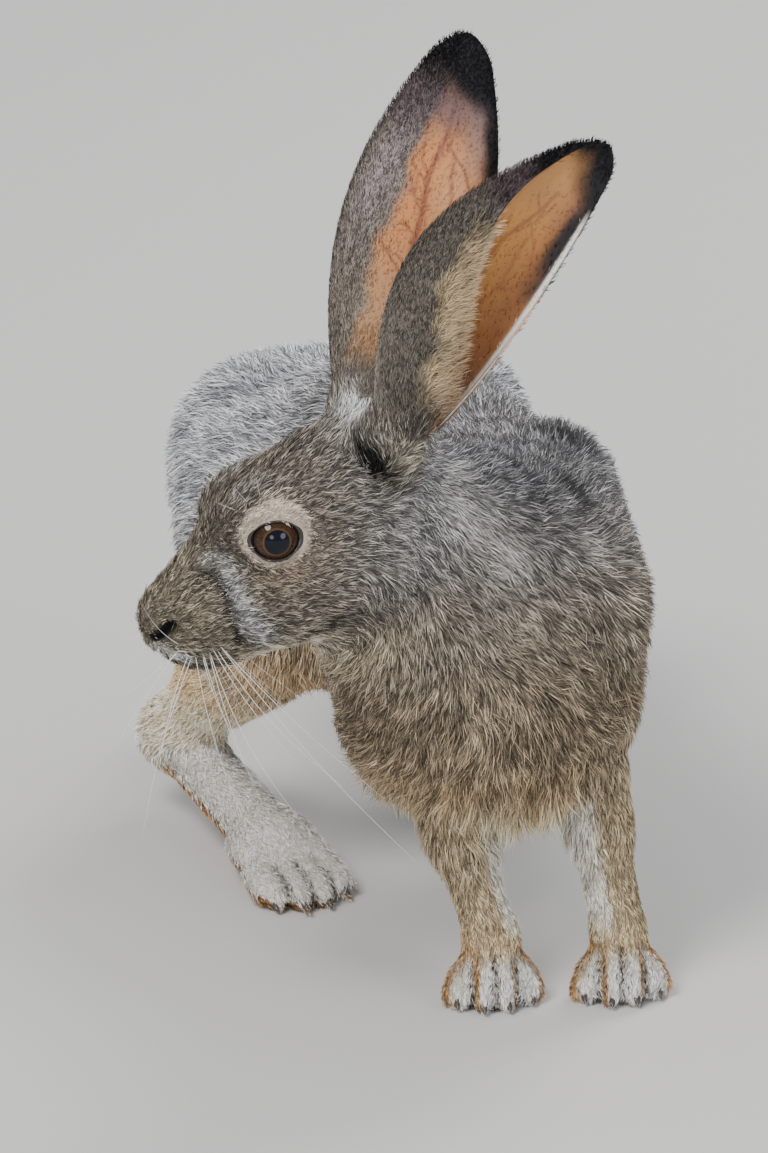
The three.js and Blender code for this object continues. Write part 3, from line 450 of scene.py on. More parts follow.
skin_points = smooth_out(skin_points, skin_faces, calm, 6)
skin_normals = vertex_normals(skin_points, skin_faces)
weights = stretch_weights(skin_points)
depth = weights @ STRETCH_SIZES[:, DEPTH] * MM + SEAM_FILL
for centre in EYES.values():
    reach = np.linalg.norm(skin_points - centre, axis=1)
    depth *= 0.35 + 0.65 * smoothstep(10 * MM, 18 * MM, reach)
depth = np.minimum(depth, np.maximum(skin_points[:, 2], 0) * 0.5 + SEAM_FILL + 0.4 * MM)
skin_points = skin_points - skin_normals * depth[:, None]
skin_points = smooth_out(skin_points, skin_faces, calm * np.where(facial, 0.4, 1.0)[:, None], 2)


def line_distance(p, line):
    """Distance of each p to the nearest place on a line through several places."""
    return np.min([segment_distance(p, *ends) for ends in zip(line[:-1], line[1:])], axis=0)


def profile_distance(a, b, line):
    """Distance in the side view of (a, b) to a line of places."""
    return line_distance(np.stack([a, b], 1), np.array(line, float))


def hump(*pairs):
    """exp(-sum((x / width)^2)) over pairs (x, width)."""
    return np.exp(-sum((x / width) ** 2 for x, width in pairs))


# Feet as ball and toe tips in plan, the toes' width and how far back from the tips the clefts run, in mm
FEET = {
    "forepaw_left": ((74.3, -129.4), (75.5, -141), 7.6, 15),
    "forepaw_right": ((31.8, -134.8), (33, -147), 7.6, 15),
    "hindfoot_left": ((48, 82), (56, 50), 8.2, 26),
    "hindfoot_right": ((-43, -11), (-27, -48), 8.2, 26),
}


def toe_clefts(p):
    """1 in the middle of the clefts between the toes, 0 away from them: exp(-(across / width)^2)
    across each of a foot's three clefts, times how far along its run the place is."""
    found = np.zeros(len(p))
    for ball, tips, width, run in FEET.values():
        ahead = unit(np.subtract(tips, ball).astype(float))
        off = p[:, :2] / MM - tips
        forward, across = off @ ahead, off @ np.array([-ahead[1], ahead[0]])
        along = smoothstep(-run, -run * 0.6, forward) * smoothstep(9, 5, forward)
        along *= smoothstep(22, 17, p[:, 2] / MM)
        for place in (-1, 0, 1):
            spread = place * width * (0.95 + 0.12 * smoothstep(-run, 0, forward))
            found = np.maximum(found, along * hump((across - spread, 0.145 * width)))
    return found


# The lids' opening, and the lines of the face as places forward and up on the head
EYE_LONG, EYE_HIGH, EYE_TILT = 8.6, 6.8, math.radians(29)
LID_LIFT = 0.9
MOUTH = [(53, -8.5), (50.5, -10.5), (47.6, -14.6), (42.8, -19.2), (36, -22.5)]
LIP = [(51.5, -6.5), (49.6, -9.6), (45.5, -13.5)]
NOSTRIL = [(50.2, -3.4), (47.2, -2.6), (43.4, -0.9)]
PAD_FOLD = [(28.5, 7.2), (24.2, 5.0), (24.9, -1.6), (27.2, -9.1), (29.2, -17)]
SWEEP = [(27.5, 12), (21, 9.8), (20.8, 0), (22.8, -9.6), (21.6, -19)]
CHEEK_FOLD = [(13, -27), (5.7, -27.2), (-9, -27.7), (-27, -34)]
# The fold of the neck and the pale nape, as places in the model
NECK_FOLD = np.array([(-10, -187, 148), (2, -180, 157), (14, -169, 162), (27, -156, 165)])
NAPE = np.array([(17, -161, 188), (24, -158, 177), (33, -151, 165)])


def eye_opening(a, b):
    """sqrt((x / long)^2 + (y / high)^2), which is 1 on the edge of the lids, and x and y, the ways
    along and across the tilted opening in millimetres."""
    above = b - EYE_UP / MM
    x = a * math.cos(EYE_TILT) + above * math.sin(EYE_TILT)
    y = -a * math.sin(EYE_TILT) + above * math.cos(EYE_TILT)
    return np.hypot(x / EYE_LONG, y / EYE_HIGH), x, y


q = head_local(skin_points)
a, s, b = q.T
side = np.abs(s)
ways = {part: profile_distance(a, b, line) for part, line in (
    ("mouth", MOUTH), ("pad", PAD_FOLD), ("cheek", CHEEK_FOLD), ("nostril", NOSTRIL),
)}
# How far the skin is pushed out, in millimetres: mouth, lip, fold, pad, cheek, nostril, neck, philtrum
swell = -1.3 * hump((ways["mouth"], 0.9)) * smoothstep(30, 36, a)
swell += 0.5 * hump((a - 47, 6), (b + 9.5, 4))
swell -= 1.6 * hump((ways["pad"], 1.7)) * smoothstep(4, 8, side)
swell += 2.0 * hump((a - 35, 8), (b + 5, 8)) * smoothstep(3, 8, side)
swell -= 0.9 * hump((ways["cheek"], 2.2)) * smoothstep(6, 12, side)
swell -= 2.8 * hump((ways["nostril"], 1.7)) * smoothstep(3, 5.5, side)
swell -= 0.7 * hump((line_distance(skin_points / MM, NECK_FOLD), 3))
swell -= 0.9 * hump((s, 0.8)) * smoothstep(45, 48, a) * smoothstep(-16, -13, b) * smoothstep(-2, -5, b)
swell[a < -45] = 0
CLEFT_DEPTH = 2.0
swell -= CLEFT_DEPTH * toe_clefts(skin_points)
skin_points = skin_points + vertex_normals(skin_points, skin_faces) * (swell * MM)[:, None]
# The lids: over the eyeball the skin is brought to just outside it, and inside their edge it goes behind
q = head_local(skin_points)
a, s, b = q.T
rho, x, y = eye_opening(a, b)
lids = (rho < 2.0) & (np.abs(s) > 7)
inner = np.maximum(rho, 1)
lid_radius = EYE_RADIUS / MM + LID_LIFT
eye_out = abs(head_local(EYES[1])[1])
edge = eye_out + np.sqrt(np.maximum(lid_radius ** 2 - (x / inner) ** 2 - (y / inner) ** 2, 0))
edge = edge - 6 * smoothstep(1.0, 0.8, rho) - 0.55 * hump((rho - 1.36, 0.1)) * smoothstep(-3, 1, y)
keep = smoothstep(1.08, 1.9, rho)
q[:, 1] = np.where(lids, np.sign(s) * (edge * (1 - keep) + np.abs(s) * keep), s)
skin_points = head_place(q)
skin_normals = vertex_normals(skin_points, skin_faces)
skin_weights = stretch_weights(skin_points)


# The markings, as reflected light, with painted shade in the folds of the face and neck, the nostrils,
# the hollow before the ears and the clefts between the toes. Each is painted over the ones before it.
BROWN, GREY, SILVER = (0.215, 0.185, 0.150), (0.31, 0.30, 0.305), (0.52, 0.53, 0.56)
TAN, CREAM, WHITE = (0.27, 0.205, 0.13), (0.58, 0.47, 0.32), (0.92, 0.88, 0.81)
RUST, OLIVE, LID_RING = (0.50, 0.30, 0.14), (0.255, 0.217, 0.160), (0.60, 0.51, 0.41)
# The second tone is the dark edge of the eye's ring and painted shade in the folds of the face and neck
BLACK, DARK_MARK_AND_SHADE = (0.006, 0.006, 0.007), (0.035, 0.030, 0.028)
# Rows of STRETCHES
HEAD_ROWS, NECK_ROWS, TRUNK_ROWS, HAM_ROWS = [0, 1, 2, 3, 25, 26], slice(4, 6), slice(6, 10), slice(10, 12)
HIND_SHINS, HIND_FEET, FORELEGS = [12, 13], slice(14, 18), slice(18, 24)
# The ring round the eye, as its middle along and across the opening and its half lengths
RING_MIDDLE, RING_RADII = (0.2, 2.4), (12.0, 11.3)
TAIL = np.array([(-27, 134, 109), (-36, 168, 92), (-43, 190, 48)])


def share(weights, rows):
    """How much the given stretches count together."""
    return weights[:, rows].sum(1)


def markings(p, normals, weights):
    """Colour of the coat at p, and the share of hairs there with black tips: each paint() mixes in
    its tone by its mask, which is a product of steps and humps over places on the body."""
    millimetres = p / MM
    out, back = (millimetres - SHOULDERS) @ OUT, (millimetres - SHOULDERS) @ BACK
    along_x, along_y, up = millimetres.T
    a, s, b = head_local(p).T
    side = np.abs(s)
    rho, x, y = eye_opening(a, b)
    colour, ticking = np.tile(BROWN, (len(p), 1)).astype(float), np.full(len(p), 0.42)

    def paint(mask, tone, black_tips):
        """colour + mask (tone - colour), and the same for the black tips."""
        mask = np.clip(mask, 0, 1)
        colour[:] += mask[:, None] * (np.array(tone) - colour)
        ticking[:] += mask * (black_tips - ticking)

    def near(line, width):
        """1 on a line of the face, falling away over the width."""
        return hump((profile_distance(a, b, line), width))

    body = share(weights, TRUNK_ROWS) + share(weights, HAM_ROWS) + share(weights, NECK_ROWS)
    head, neck = share(weights, HEAD_ROWS), share(weights, NECK_ROWS)
    paint(body, (0.25, 0.215, 0.175), 0.45)
    paint(body * smoothstep(115, 185, up + 0.25 * back), GREY, 0.5)
    paint(body * smoothstep(85, 175, back + 8 * np.sin(out * 0.09)) * smoothstep(70, 125, up), SILVER, 0.34)
    paint(body * smoothstep(20, -30, back) * smoothstep(165, 85, up), TAN, 0.42)
    fringe = smoothstep(94, 68, up + 3 * np.sin(out * 0.35)) * smoothstep(70, 20, back)
    paint(body * fringe, (0.38, 0.27, 0.155), 0.14)
    paint(body * fringe * smoothstep(80, 64, up + 4 * np.sin(out * 0.2 + 1)), CREAM, 0.02)
    belly = smoothstep(76, 62, up) * smoothstep(10, 60, back) * smoothstep(44, 30, np.abs(out))
    paint(body * belly, WHITE, 0.0)
    knee = hump((along_x + 42, 24), (along_y + 30, 30), (up - 80, 20))
    paint(body * knee * 1.2, (0.42, 0.29, 0.165), 0.08)
    # Dark mottled arcs over the withers
    arcs = smoothstep(-0.1, 0.7, np.sin(0.31 * (back + 0.4 * out) + 1.6 * np.sin(0.08 * out)))
    arcs *= smoothstep(158, 172, up) * smoothstep(60, 25, back) * smoothstep(-56, -36, back)
    arcs *= 0.62 + 0.38 * np.sin(0.21 * out + 0.13 * back + 1)
    paint(body * arcs * 0.75, (0.06, 0.057, 0.062), 0.8)
    paint((body + head) * hump((line_distance(millimetres, NAPE), 9)) * 0.85, (0.58, 0.54, 0.49), 0.2)
    # Painted shade in the fold of the neck
    paint((body + head) * hump((line_distance(millimetres, NECK_FOLD), 2.6)) * 0.85, DARK_MARK_AND_SHADE, 0.7)
    paint(neck * hump((a + 5, 30), (b + 46, 9)) * 0.6, (0.46, 0.38, 0.26), 0.12)
    # Face
    paint(head * smoothstep(18, 34, a), OLIVE, 0.36)
    paint(head * hump((a - 4, 13), (b + 4, 5)) * smoothstep(10, 14, side) * 0.8, (0.24, 0.18, 0.13), 0.2)
    paint(head * near(SWEEP, 3.5) * smoothstep(7, 11, side), (0.52, 0.51, 0.49), 0.3)
    # Painted shade in the fold behind the whisker pad, a dark hook
    paint(head * near(PAD_FOLD, 1.9) * smoothstep(5, 9, side) * 1.05, DARK_MARK_AND_SHADE, 0.8)
    paint(head * hump((a - 1, 9), (b - 28.5, 3.5)) * smoothstep(4, 8, side) * 0.8, (0.58, 0.56, 0.54), 0.4)
    paint(head * smoothstep(-20, -26, b) * smoothstep(-5, 10, a), (0.50, 0.44, 0.34), 0.08)
    # Painted shade in the cheek's fold
    paint(head * near(CHEEK_FOLD, 2.0) * smoothstep(6, 12, side) * 0.9, DARK_MARK_AND_SHADE, 0.6)
    paint(head * near(LIP, 1.8) * smoothstep(2, 4, side), WHITE, 0.0)
    # The line of the mouth: its dark lips, with painted shade in the crease between them
    paint(head * near(MOUTH, 1.1) * smoothstep(31, 36, a), DARK_MARK_AND_SHADE, 0.4)
    # Painted shade in the nostrils' openings
    paint(head * near(NOSTRIL, 2.0) * smoothstep(2.5, 5, side) * 1.7, BLACK, 0.0)
    # The pale ring round the eye, with a dark edge and a browner lower half
    from_eye = np.hypot((x - RING_MIDDLE[0]) / RING_RADII[0], (y - RING_MIDDLE[1]) / RING_RADII[1])
    beside = smoothstep(10, 14, side)
    ring = smoothstep(1.04, 0.95, from_eye) * beside
    paint(hump((from_eye - 1.14, 0.10)) * beside * 0.4, DARK_MARK_AND_SHADE, 0.5)
    paint(ring, LID_RING, 0.0)
    paint(ring * smoothstep(2, -7, y) * 0.85, (0.36, 0.28, 0.21), 0.0)
    # The white spot between the ears, their roots and painted shade in the hollow before them
    paint(hump((a + 44, 6), (s, 8), (b - 25, 8)) * 1.4, (0.80, 0.81, 0.82), 0.0)
    paint(hump((a + 47, 8), (side - 18, 9), (b - 9, 8)), (0.46, 0.41, 0.30), 0.15)
    paint(hump((a + 40, 3.6), (side - 17, 9), (b - 12, 6.0)) * 2.6, BLACK, 0.0)
    # Legs and tail
    fore, feet, shins = share(weights, FORELEGS), share(weights, HIND_FEET), share(weights, HIND_SHINS)
    across = np.abs(normals @ OUT)
    paint(fore, (0.38, 0.295, 0.185), 0.16)
    inner = smoothstep(0.15, 0.7, -(normals @ OUT) * np.sign(out))
    paint(fore * inner * smoothstep(100, 60, up), (0.72, 0.67, 0.58), 0.02)
    paint(fore * smoothstep(30, 20, up), (0.52, 0.39, 0.24), 0.04)
    paint(fore * smoothstep(20, 13, up) * smoothstep(0.9, 0.5, across), WHITE, 0.0)
    paint(fore * smoothstep(24, 14, up) * smoothstep(0.6, 0.95, across), RUST, 0.0)
    paint(shins, (0.73, 0.60, 0.43), 0.03)
    paint(shins * smoothstep(46, 70, up), (0.50, 0.335, 0.175), 0.06)
    paint(feet, WHITE, 0.0)
    paint(feet * smoothstep(0.0, -0.5, normals[:, 2]), RUST, 0.0)
    # Painted shade in the clefts between the toes
    paint(toe_clefts(p) ** 1.5 * 1.3, (0.035, 0.024, 0.017), 0.0)
    on_tail = smoothstep(21, 15, line_distance(millimetres, TAIL)) * smoothstep(112, 120, along_y)
    paint(on_tail, WHITE, 0.0)
    paint(on_tail * smoothstep(-0.35, 0.1, normals @ BACK + normals[:, 2]), BLACK, 0.0)
    paint(body * hump((along_x + 22, 8), (along_y - 126, 26), (up - 124, 26)) * 1.4, BLACK, 0.0)
    return colour, ticking


skin_look = Nodes("hide", Roughness=0.75, Specular_IOR_Level=0.15)
skin_look.set(Base_Color=skin_look.tint())
skin_colours = markings(skin_points, skin_normals, skin_weights)[0]
skin = new_object("skin", skin_points, skin_faces, skin_look.material)
paint_points(skin, skin_colours * SKIN_SHADE)
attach(skin, "root")
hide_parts(*FLESH)
bpy.context.view_layer.objects.active = skin
skin.select_set(True)
bpy.ops.object.mode_set(mode="EDIT")
bpy.ops.mesh.select_all(action="SELECT")
bpy.ops.uv.smart_project(angle_limit=math.radians(70), island_margin=0.002)
bpy.ops.object.mode_set(mode="OBJECT")
skin.select_set(False)
skin.data.uv_layers[0].name = "OFBake"
skin_uv = np.empty(len(skin_faces) * 6, np.float32)
skin.data.uv_layers[0].data.foreach_get("uv", skin_uv)
skin_uv = skin_uv.reshape(-1, 3, 2)

# Coat: guard hair and underfur over the whole hide. Each hair is a flat tapered blade rooted in the
# skin, laid along the coat's lie, and leaned with its neighbours into tufts. Most are banded: dark at
# the root, paler in the middle, and some black at the tip. It is kept as 15 pieces.
SEED = 20
random = np.random.default_rng(SEED)
PATCH = 0.0015                   # half of a hair's own patch on the map
ROOT_SINK = 0.4 * MM
FLOOR_ROOM = 0.1 * MM            # hair ends at least this far above the floor
BLADE_FACES = np.array([[0, 1, 3], [0, 3, 2], [2, 3, 4]])


def hashed(cells, seed):
    """Three even random numbers from 0 to 1 for each row of whole numbers: the row times three primes,
    shifted, crossed and multiplied."""
    primes = np.array([73856093, 19349663, 83492791], np.uint64)
    mixed = cells.astype(np.uint64) @ primes + np.uint64(seed * 7919)
    numbers = []
    for _ in range(3):
        mixed = (mixed ^ (mixed >> np.uint64(30))) * np.uint64(0xBF58476D1CE4E5B9)
        mixed = (mixed ^ (mixed >> np.uint64(27))) * np.uint64(0x94D049BB133111EB)
        numbers.append((mixed >> np.uint64(40)).astype(float) / 2.0 ** 24)
    return np.stack(numbers, 1)


def clumps(p, size, seed):
    """The way from each place to the nearest of many random points, one in each cell of the given
    size, and three random numbers of that point."""
    shift = 4096                 # keeps the cells' numbers above zero
    cell = np.floor(p / size).astype(np.int64) + shift
    best, way, chance = np.full(len(p), np.inf), np.zeros_like(p), np.zeros_like(p)
    for step in np.ndindex(3, 3, 3):
        other = cell + np.array(step) - 1
        numbers = hashed(other, seed)
        to = (other - shift + numbers) * size - p
        distance = (to ** 2).sum(1)
        nearer = distance < best
        best[nearer], way[nearer], chance[nearer] = distance[nearer], to[nearer], numbers[nearer]
    return way, chance


def sample(points, faces, density, uv):
    """Even random places on a surface, density to the square millimetre: the sums of the faces' areas
    times density are met at even steps. Gives place, face, shares of its corners and place on the map."""
    corners = points[faces]
    crossed = np.cross(corners[:, 1] - corners[:, 0], corners[:, 2] - corners[:, 0])
    wanted = np.linalg.norm(crossed, axis=1) / 2 / MM ** 2 * density[faces].mean(1)
    total = np.cumsum(wanted)
    number = int(total[-1])
    face = np.searchsorted(total, (np.arange(number) + random.random(number)) / number * total[-1])
    face = np.minimum(face, len(faces) - 1)
    u, v = random.random((2, number))
    u, v = np.where(u + v > 1, 1 - u, u), np.where(u + v > 1, 1 - v, v)
    shares = np.stack([1 - u - v, u, v], 1)
    return (corners[face] * shares[:, :, None]).sum(1), face, shares, (uv[face] * shares[:, :, None]).sum(1)


def carried(values, faces, face, shares):
    """The values at a face's corners, shared out to places on it."""
    return (values[faces[face]] * shares[:, :, None]).sum(1)


coat_look = Nodes("fur", Roughness=0.6, Specular_IOR_Level=0.22)
coat_look.set(Base_Color=coat_look.tint())


def turned(first, second, angle):
    """first cos(angle) + second sin(angle), row by row."""
    return first * np.cos(angle)[:, None] + second * np.sin(angle)[:, None]


# A blade bends at a share of its length. Its lower part is steeper than its lift, its upper part flatter.
ROLL, BEND_AT, STEEP, FLAT, LEAN_LOW, ROOT_WIDTH = 0.55, 0.45, 1.4, 0.55, 0.3, 0.9


def grow(name, roots, normals, lie, length, width, lift, tones, uv, pull):
    """One mesh of blades: two root corners, two at the bend and the tip. length and width are in metres,
    lift in radians, tones are for root, middle and tip, and pull is the way that the tip leans."""
    roll = random.normal(0, ROLL, len(roots))
    across = turned(np.cross(normals, lie), normals, roll) * (width / 2)[:, None]
    reach = length[:, None]
    bend = roots + turned(lie, normals, lift * STEEP) * reach * BEND_AT + pull * LEAN_LOW
    tip = bend + turned(lie, normals, lift * FLAT) * reach * (1 - BEND_AT) + pull * (1 - LEAN_LOW)
    base = roots - normals * ROOT_SINK
    edge = across * ROOT_WIDTH
    points = np.stack([base - edge, base + edge, bend - across, bend + across, tip], 1)
    points[..., 2] = np.maximum(points[..., 2], FLOOR_ROOM * (1 + 2 * random.random((len(roots), 1))))
    faces = (np.arange(len(roots))[:, None, None] * 5 + BLADE_FACES).reshape(-1, 3)
    made = new_object(name, points.reshape(-1, 3), faces, coat_look.material)
    root_tone, middle_tone, tip_tone = tones
    shades = np.stack([root_tone, root_tone, middle_tone, middle_tone, tip_tone], 1)
    paint_points(made, shades.reshape(-1, 3))
    corners = np.array([[-1, -1], [1, -1], [-1, 0], [1, 0], [0, 1]]) * PATCH
    patches = (uv[:, None] + corners)[:, BLADE_FACES.ravel()]
    layer = made.data.uv_layers.new(name="OFBake")
    layer.data.foreach_set("uv", patches.astype(np.float32).ravel())
    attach(made, "root")


# Shares of a hair's colour at its root, and at the middle and the tip of a black-tipped hair, the share
# of hairs that are pale, and the darkest and palest tone that a hair may have
ROOT_TONE, BLACK_MIDDLE, BLACK_TIP, PALE_SHARE, TONE_LIMITS = 0.40, 0.5, 0.08, 0.30, (0.004, 0.93)


def hair_tones(colour, ticking, clump_chance, contrast=1.0):
    """Root, middle and tip tone of every hair: dark underfur, a pale band, and black tips on some. Each
    is the colour times exp(a normal number + the tuft's own number) times the share for its kind."""
    number = len(colour)
    chance = random.random(number)
    shade = np.exp(random.normal(0, 0.18, number) * contrast + (clump_chance[:, 0] - 0.5) * 0.8 * contrast)
    black = chance < ticking * (0.35 + 1.55 * clump_chance[:, 1])
    pale = (chance > 1 - PALE_SHARE) & ~black & (ticking > 0.03)
    middle = np.where(pale, 1 + 0.6 * contrast, np.where(black, BLACK_MIDDLE, 1.0))
    tip = np.where(black, BLACK_TIP, np.where(pale, 1 + contrast, 1 + 0.25 * contrast))
    return [np.clip(colour * (part * shade)[:, None], *TONE_LIMITS) for part in (ROOT_TONE, middle, tip)]


# Bare are the lids' edge, the ground under the soles, the clefts, the nostrils and the line of the mouth
a, s, b = head_local(skin_points).T
density = skin_weights @ STRETCH_SIZES[:, DENSITY]
density[(eye_opening(a, b)[0] < 1.12) & (np.abs(s) > 8)] = 0
density *= smoothstep(-0.1, 1.2, skin_points[:, 2] / MM) * (1 - np.minimum(1, 1.4 * toe_clefts(skin_points)))
density *= 1 - smoothstep(2.6, 1.7, profile_distance(a, b, NOSTRIL)) * smoothstep(2.5, 5, np.abs(s))
density *= 1 - 0.9 * hump((profile_distance(a, b, MOUTH), 0.6)) * smoothstep(33, 36, a)
roots, face, shares, uv = sample(skin_points, skin_faces, density, skin_uv)
normals = unit(carried(skin_normals, skin_faces, face, shares))
weights = stretch_weights(roots)
sizes = weights @ STRETCH_SIZES
lie = lie_of_coat(roots, normals, weights)
# The markings' edges are as ragged as hairs make them. Tufts are small in short hair, large in long.
RAGGED, SMALL_TUFT, LARGE_TUFT, BROAD_TUFT = 1.3 * MM, 1.7 * MM, 2.9 * MM, 8 * MM
jitter = roots + random.normal(0, RAGGED, roots.shape)
colour, ticking = markings(jitter, normals, stretch_weights(jitter))
small, small_chance = clumps(roots, SMALL_TUFT, 1)
large, large_chance = clumps(roots, LARGE_TUFT, 2)
is_small = smoothstep(9, 5, sizes[:, LENGTH])[:, None]
clump_way = small * is_small + large * (1 - is_small)
chance = small_chance * is_small + large_chance * (1 - is_small)
clump_way -= (clump_way * normals).sum(1, keepdims=True) * normals
broad_chance = clumps(roots, BROAD_TUFT, 5)[1]
is_body = smoothstep(4.5, 6.5, sizes[:, LENGTH])
turn = (chance[:, 2] - 0.5) * 0.7 + (broad_chance[:, 2] - 0.5) * 0.7 * is_body
turn += random.normal(0, 0.18, len(roots))
lie = turned(lie, np.cross(normals, lie), turn)
length = sizes[:, LENGTH] * MM * (0.75 + 0.5 * random.random(len(roots))) * (0.85 + 0.3 * chance[:, 1])
# Longer under the chest and shorter round the eyes
height, along_back = roots[:, 2] / MM, (roots / MM - SHOULDERS) @ BACK
fringe = share(weights, TRUNK_ROWS) * smoothstep(88, 64, height) * smoothstep(60, 20, along_back)
length *= 1 + 0.9 * fringe
a, s, b = head_local(roots).T
near_eye = (np.abs(s) > 8) * smoothstep(2.1, 1.6, eye_opening(a, b)[0])
length *= 1 - 0.5 * near_eye
lift = np.radians(sizes[:, LIFT]) * (0.7 + 0.6 * random.random(len(roots))) * (0.85 + 0.3 * chance[:, 0])
lift *= (1 - 0.35 * near_eye) * (1 + 0.9 * fringe)
width = sizes[:, WIDTH] * MM * (0.75 + 0.5 * random.random(len(roots)))
colour *= np.exp((broad_chance[:, 0] - 0.5) * 0.45 * is_body)[:, None]
tones = hair_tones(colour, ticking, chance)
pull = clump_way * 0.65
# Each piece of coat is the hair nearest to its anchor
ANCHORS = {
    "coat_face": (on_head(30, 0, 0), "coat_brown"),
    "coat_crown": (on_head(-16, 0, 16), "coat_brown"),
    "coat_cheeks": (on_head(-12, 0, -22), "coat_brown"),
    "coat_neck": ((10, -115, 165), "coat_brown"),
    "coat_chest": ((34, -130, 100), "coat_brown"),
    "coat_shoulders": ((34, -70, 165), "coat_brown"),
    "coat_flank_left": (trunk(45, 50, 120), "coat_brown"),
    "coat_flank_right": (trunk(-45, 45, 110), "coat_brown"),
    "coat_back": (trunk(0, 100, 175), "coat_brown"),
    "coat_rump": (trunk(0, 220, 130), "coat_brown"),
    "coat_belly": (trunk(0, 90, 50), "coat_pale"),
    "coat_forelegs": ((48, -125, 20), "coat_pale"),
    "coat_hind_left": ((45, 100, 30), "coat_pale"),
    "coat_hind_right": ((-50, 10, 30), "coat_pale"),
    "coat_tail": ((-42, 190, 60), "coat_black"),
}
anchors = np.array([place for place, _ in ANCHORS.values()]) * MM
nearest = np.argmin([((roots - anchor) ** 2).sum(1) for anchor in anchors], axis=0)
for number, (name, (_, slot)) in enumerate(ANCHORS.items()):
    mine = nearest == number
    grow(
        name, roots[mine], normals[mine], lie[mine], length[mine], width[mine], lift[mine],
        [tone[mine] for tone in tones], uv[mine], pull[mine],
    )

# Eyes: two moist eyeballs, each held by its lids, with a wide dark pupil in an amber-brown iris. The
# iris is spoked with fine fibres and darkens at its rim, and a clear wet layer lies over all.
IRIS_RADIUS, PUPIL_RADIUS = 7.6, 4.15
CORNEA_HEIGHT, CORNEA_WIDTH = 0.35 * MM, 0.55


def eyeball(side):
    """A ball whose pole looks out to the side: rings of longitude and latitude, at
    radius + height exp(-(polar angle / width)^2)."""
    rings, around = 48, 72
    polar = np.linspace(0, math.pi, rings + 1)[:, None] * np.ones(around)
    turn = np.linspace(0, 2 * math.pi, around, endpoint=False)[None, :] * np.ones((rings + 1, 1))
    bulge = EYE_RADIUS + CORNEA_HEIGHT * np.exp(-(polar / CORNEA_WIDTH) ** 2)
    local = np.stack([
        bulge * np.sin(polar) * np.cos(turn),
        side * bulge * np.cos(polar),
        bulge * np.sin(polar) * np.sin(turn),
    ], -1).reshape(-1, 3)
    index = np.arange((rings + 1) * around).reshape(rings + 1, around)
    following = np.roll(index, -1, axis=1)
    faces = np.stack([index[:-1], following[:-1], following[1:], index[1:]], -1).reshape(-1, 4)
    return EYES[side] + local @ HEAD_AXES, faces if side < 0 else faces[:, ::-1]


def eye_look(side):
    """Rings of colour by the distance from the eye's axis, with spokes by the angle round it."""
    wet = {"Coat_Weight": 1.0, "Coat_Roughness": 0.01, "Coat_IOR": 1.34}
    name = "eye_left_look" if side > 0 else "eye_right_look"
    look = Nodes(name, Roughness=0.3, Specular_IOR_Level=0.0, **wet)
    off = look.add("ShaderNodeVectorMath", {"operation": "SUBTRACT"}, {0: look.place(), 1: tuple(EYES[side])})

    def along(axis):
        """Millimetres from the middle of the eye along an axis of the head."""
        pair = {0: off, 1: tuple(axis)}
        return look.add("ShaderNodeVectorMath", {"operation": "DOT_PRODUCT"}, pair, output="Value") / MM

    forward, up = along(FORWARD), along(UP)
    radius = (forward * forward + up * up) ** 0.5
    angle = forward.maths("ARCTAN2", up)
    spoke = look.add("ShaderNodeCombineXYZ", None, {"X": angle * 7.0, "Y": radius * 0.3, "Z": 0.0})
    fibres = look.smooth(0.3, 0.7, look.noise(1.8, 5.0, spoke))
    iris = look.mix(fibres, (0.018, 0.008, 0.004), (0.062, 0.028, 0.012))
    iris = look.mix(look.smooth(PUPIL_RADIUS + 0.9, PUPIL_RADIUS + 0.2, radius), iris, (0.085, 0.046, 0.018))
    iris = look.mix(look.smooth(IRIS_RADIUS - 1.9, IRIS_RADIUS - 0.5, radius), iris, (0.010, 0.005, 0.004))
    iris = look.mix(look.smooth(IRIS_RADIUS - 0.1, IRIS_RADIUS + 0.4, radius), iris, (0.30, 0.20, 0.18))
    iris = look.mix(look.smooth(PUPIL_RADIUS + 0.2, PUPIL_RADIUS - 0.15, radius), iris, (0.002, 0.003, 0.008))
    return look.set(Base_Color=iris).material


def tube(path, radius, around=8, closed=False):
    """Points and quads of a tube along a path: path + radius (first cos(turn) + second sin(turn)),
    where first and second are at right angles to the path. radius is one number for each place."""
    path, radius = np.asarray(path, float), np.broadcast_to(radius, len(path))
    ahead = unit(np.roll(path, -1, 0) - np.roll(path, 1, 0) if closed else np.gradient(path, axis=0))
    first = unit(np.cross(ahead, ahead[0] + (0.31, 0.52, 0.79) if not closed else path - path.mean(0)))
    second = np.cross(ahead, first)
    turn = np.linspace(0, 2 * math.pi, around, endpoint=False)
    ring = first[:, None] * np.cos(turn)[:, None] + second[:, None] * np.sin(turn)[:, None]
    points = (path[:, None] + ring * radius[:, None, None]).reshape(-1, 3)
    index = np.arange(len(points)).reshape(len(path), around)
    rows, beyond = (index, np.roll(index, -1, 0)) if closed else (index[:-1], index[1:])
    return points, np.stack([rows, np.roll(rows, -1, 1), np.roll(beyond, -1, 1), beyond], -1).reshape(-1, 4)


def join(pieces):
    """Points and faces of several pieces in one."""
    starts = np.cumsum([0] + [len(points) for points, _ in pieces[:-1]])
    return np.concatenate([points for points, _ in pieces]), np.concatenate([
        faces + start for (_, faces), start in zip(pieces, starts)
    ])


for side, name in ((1, "eye_left"), (-1, "eye_right")):
    ball = new_object(name.replace("eye", "eyeball"), *eyeball(side), eye_look(side))
    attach(ball, "root")
    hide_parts(name)

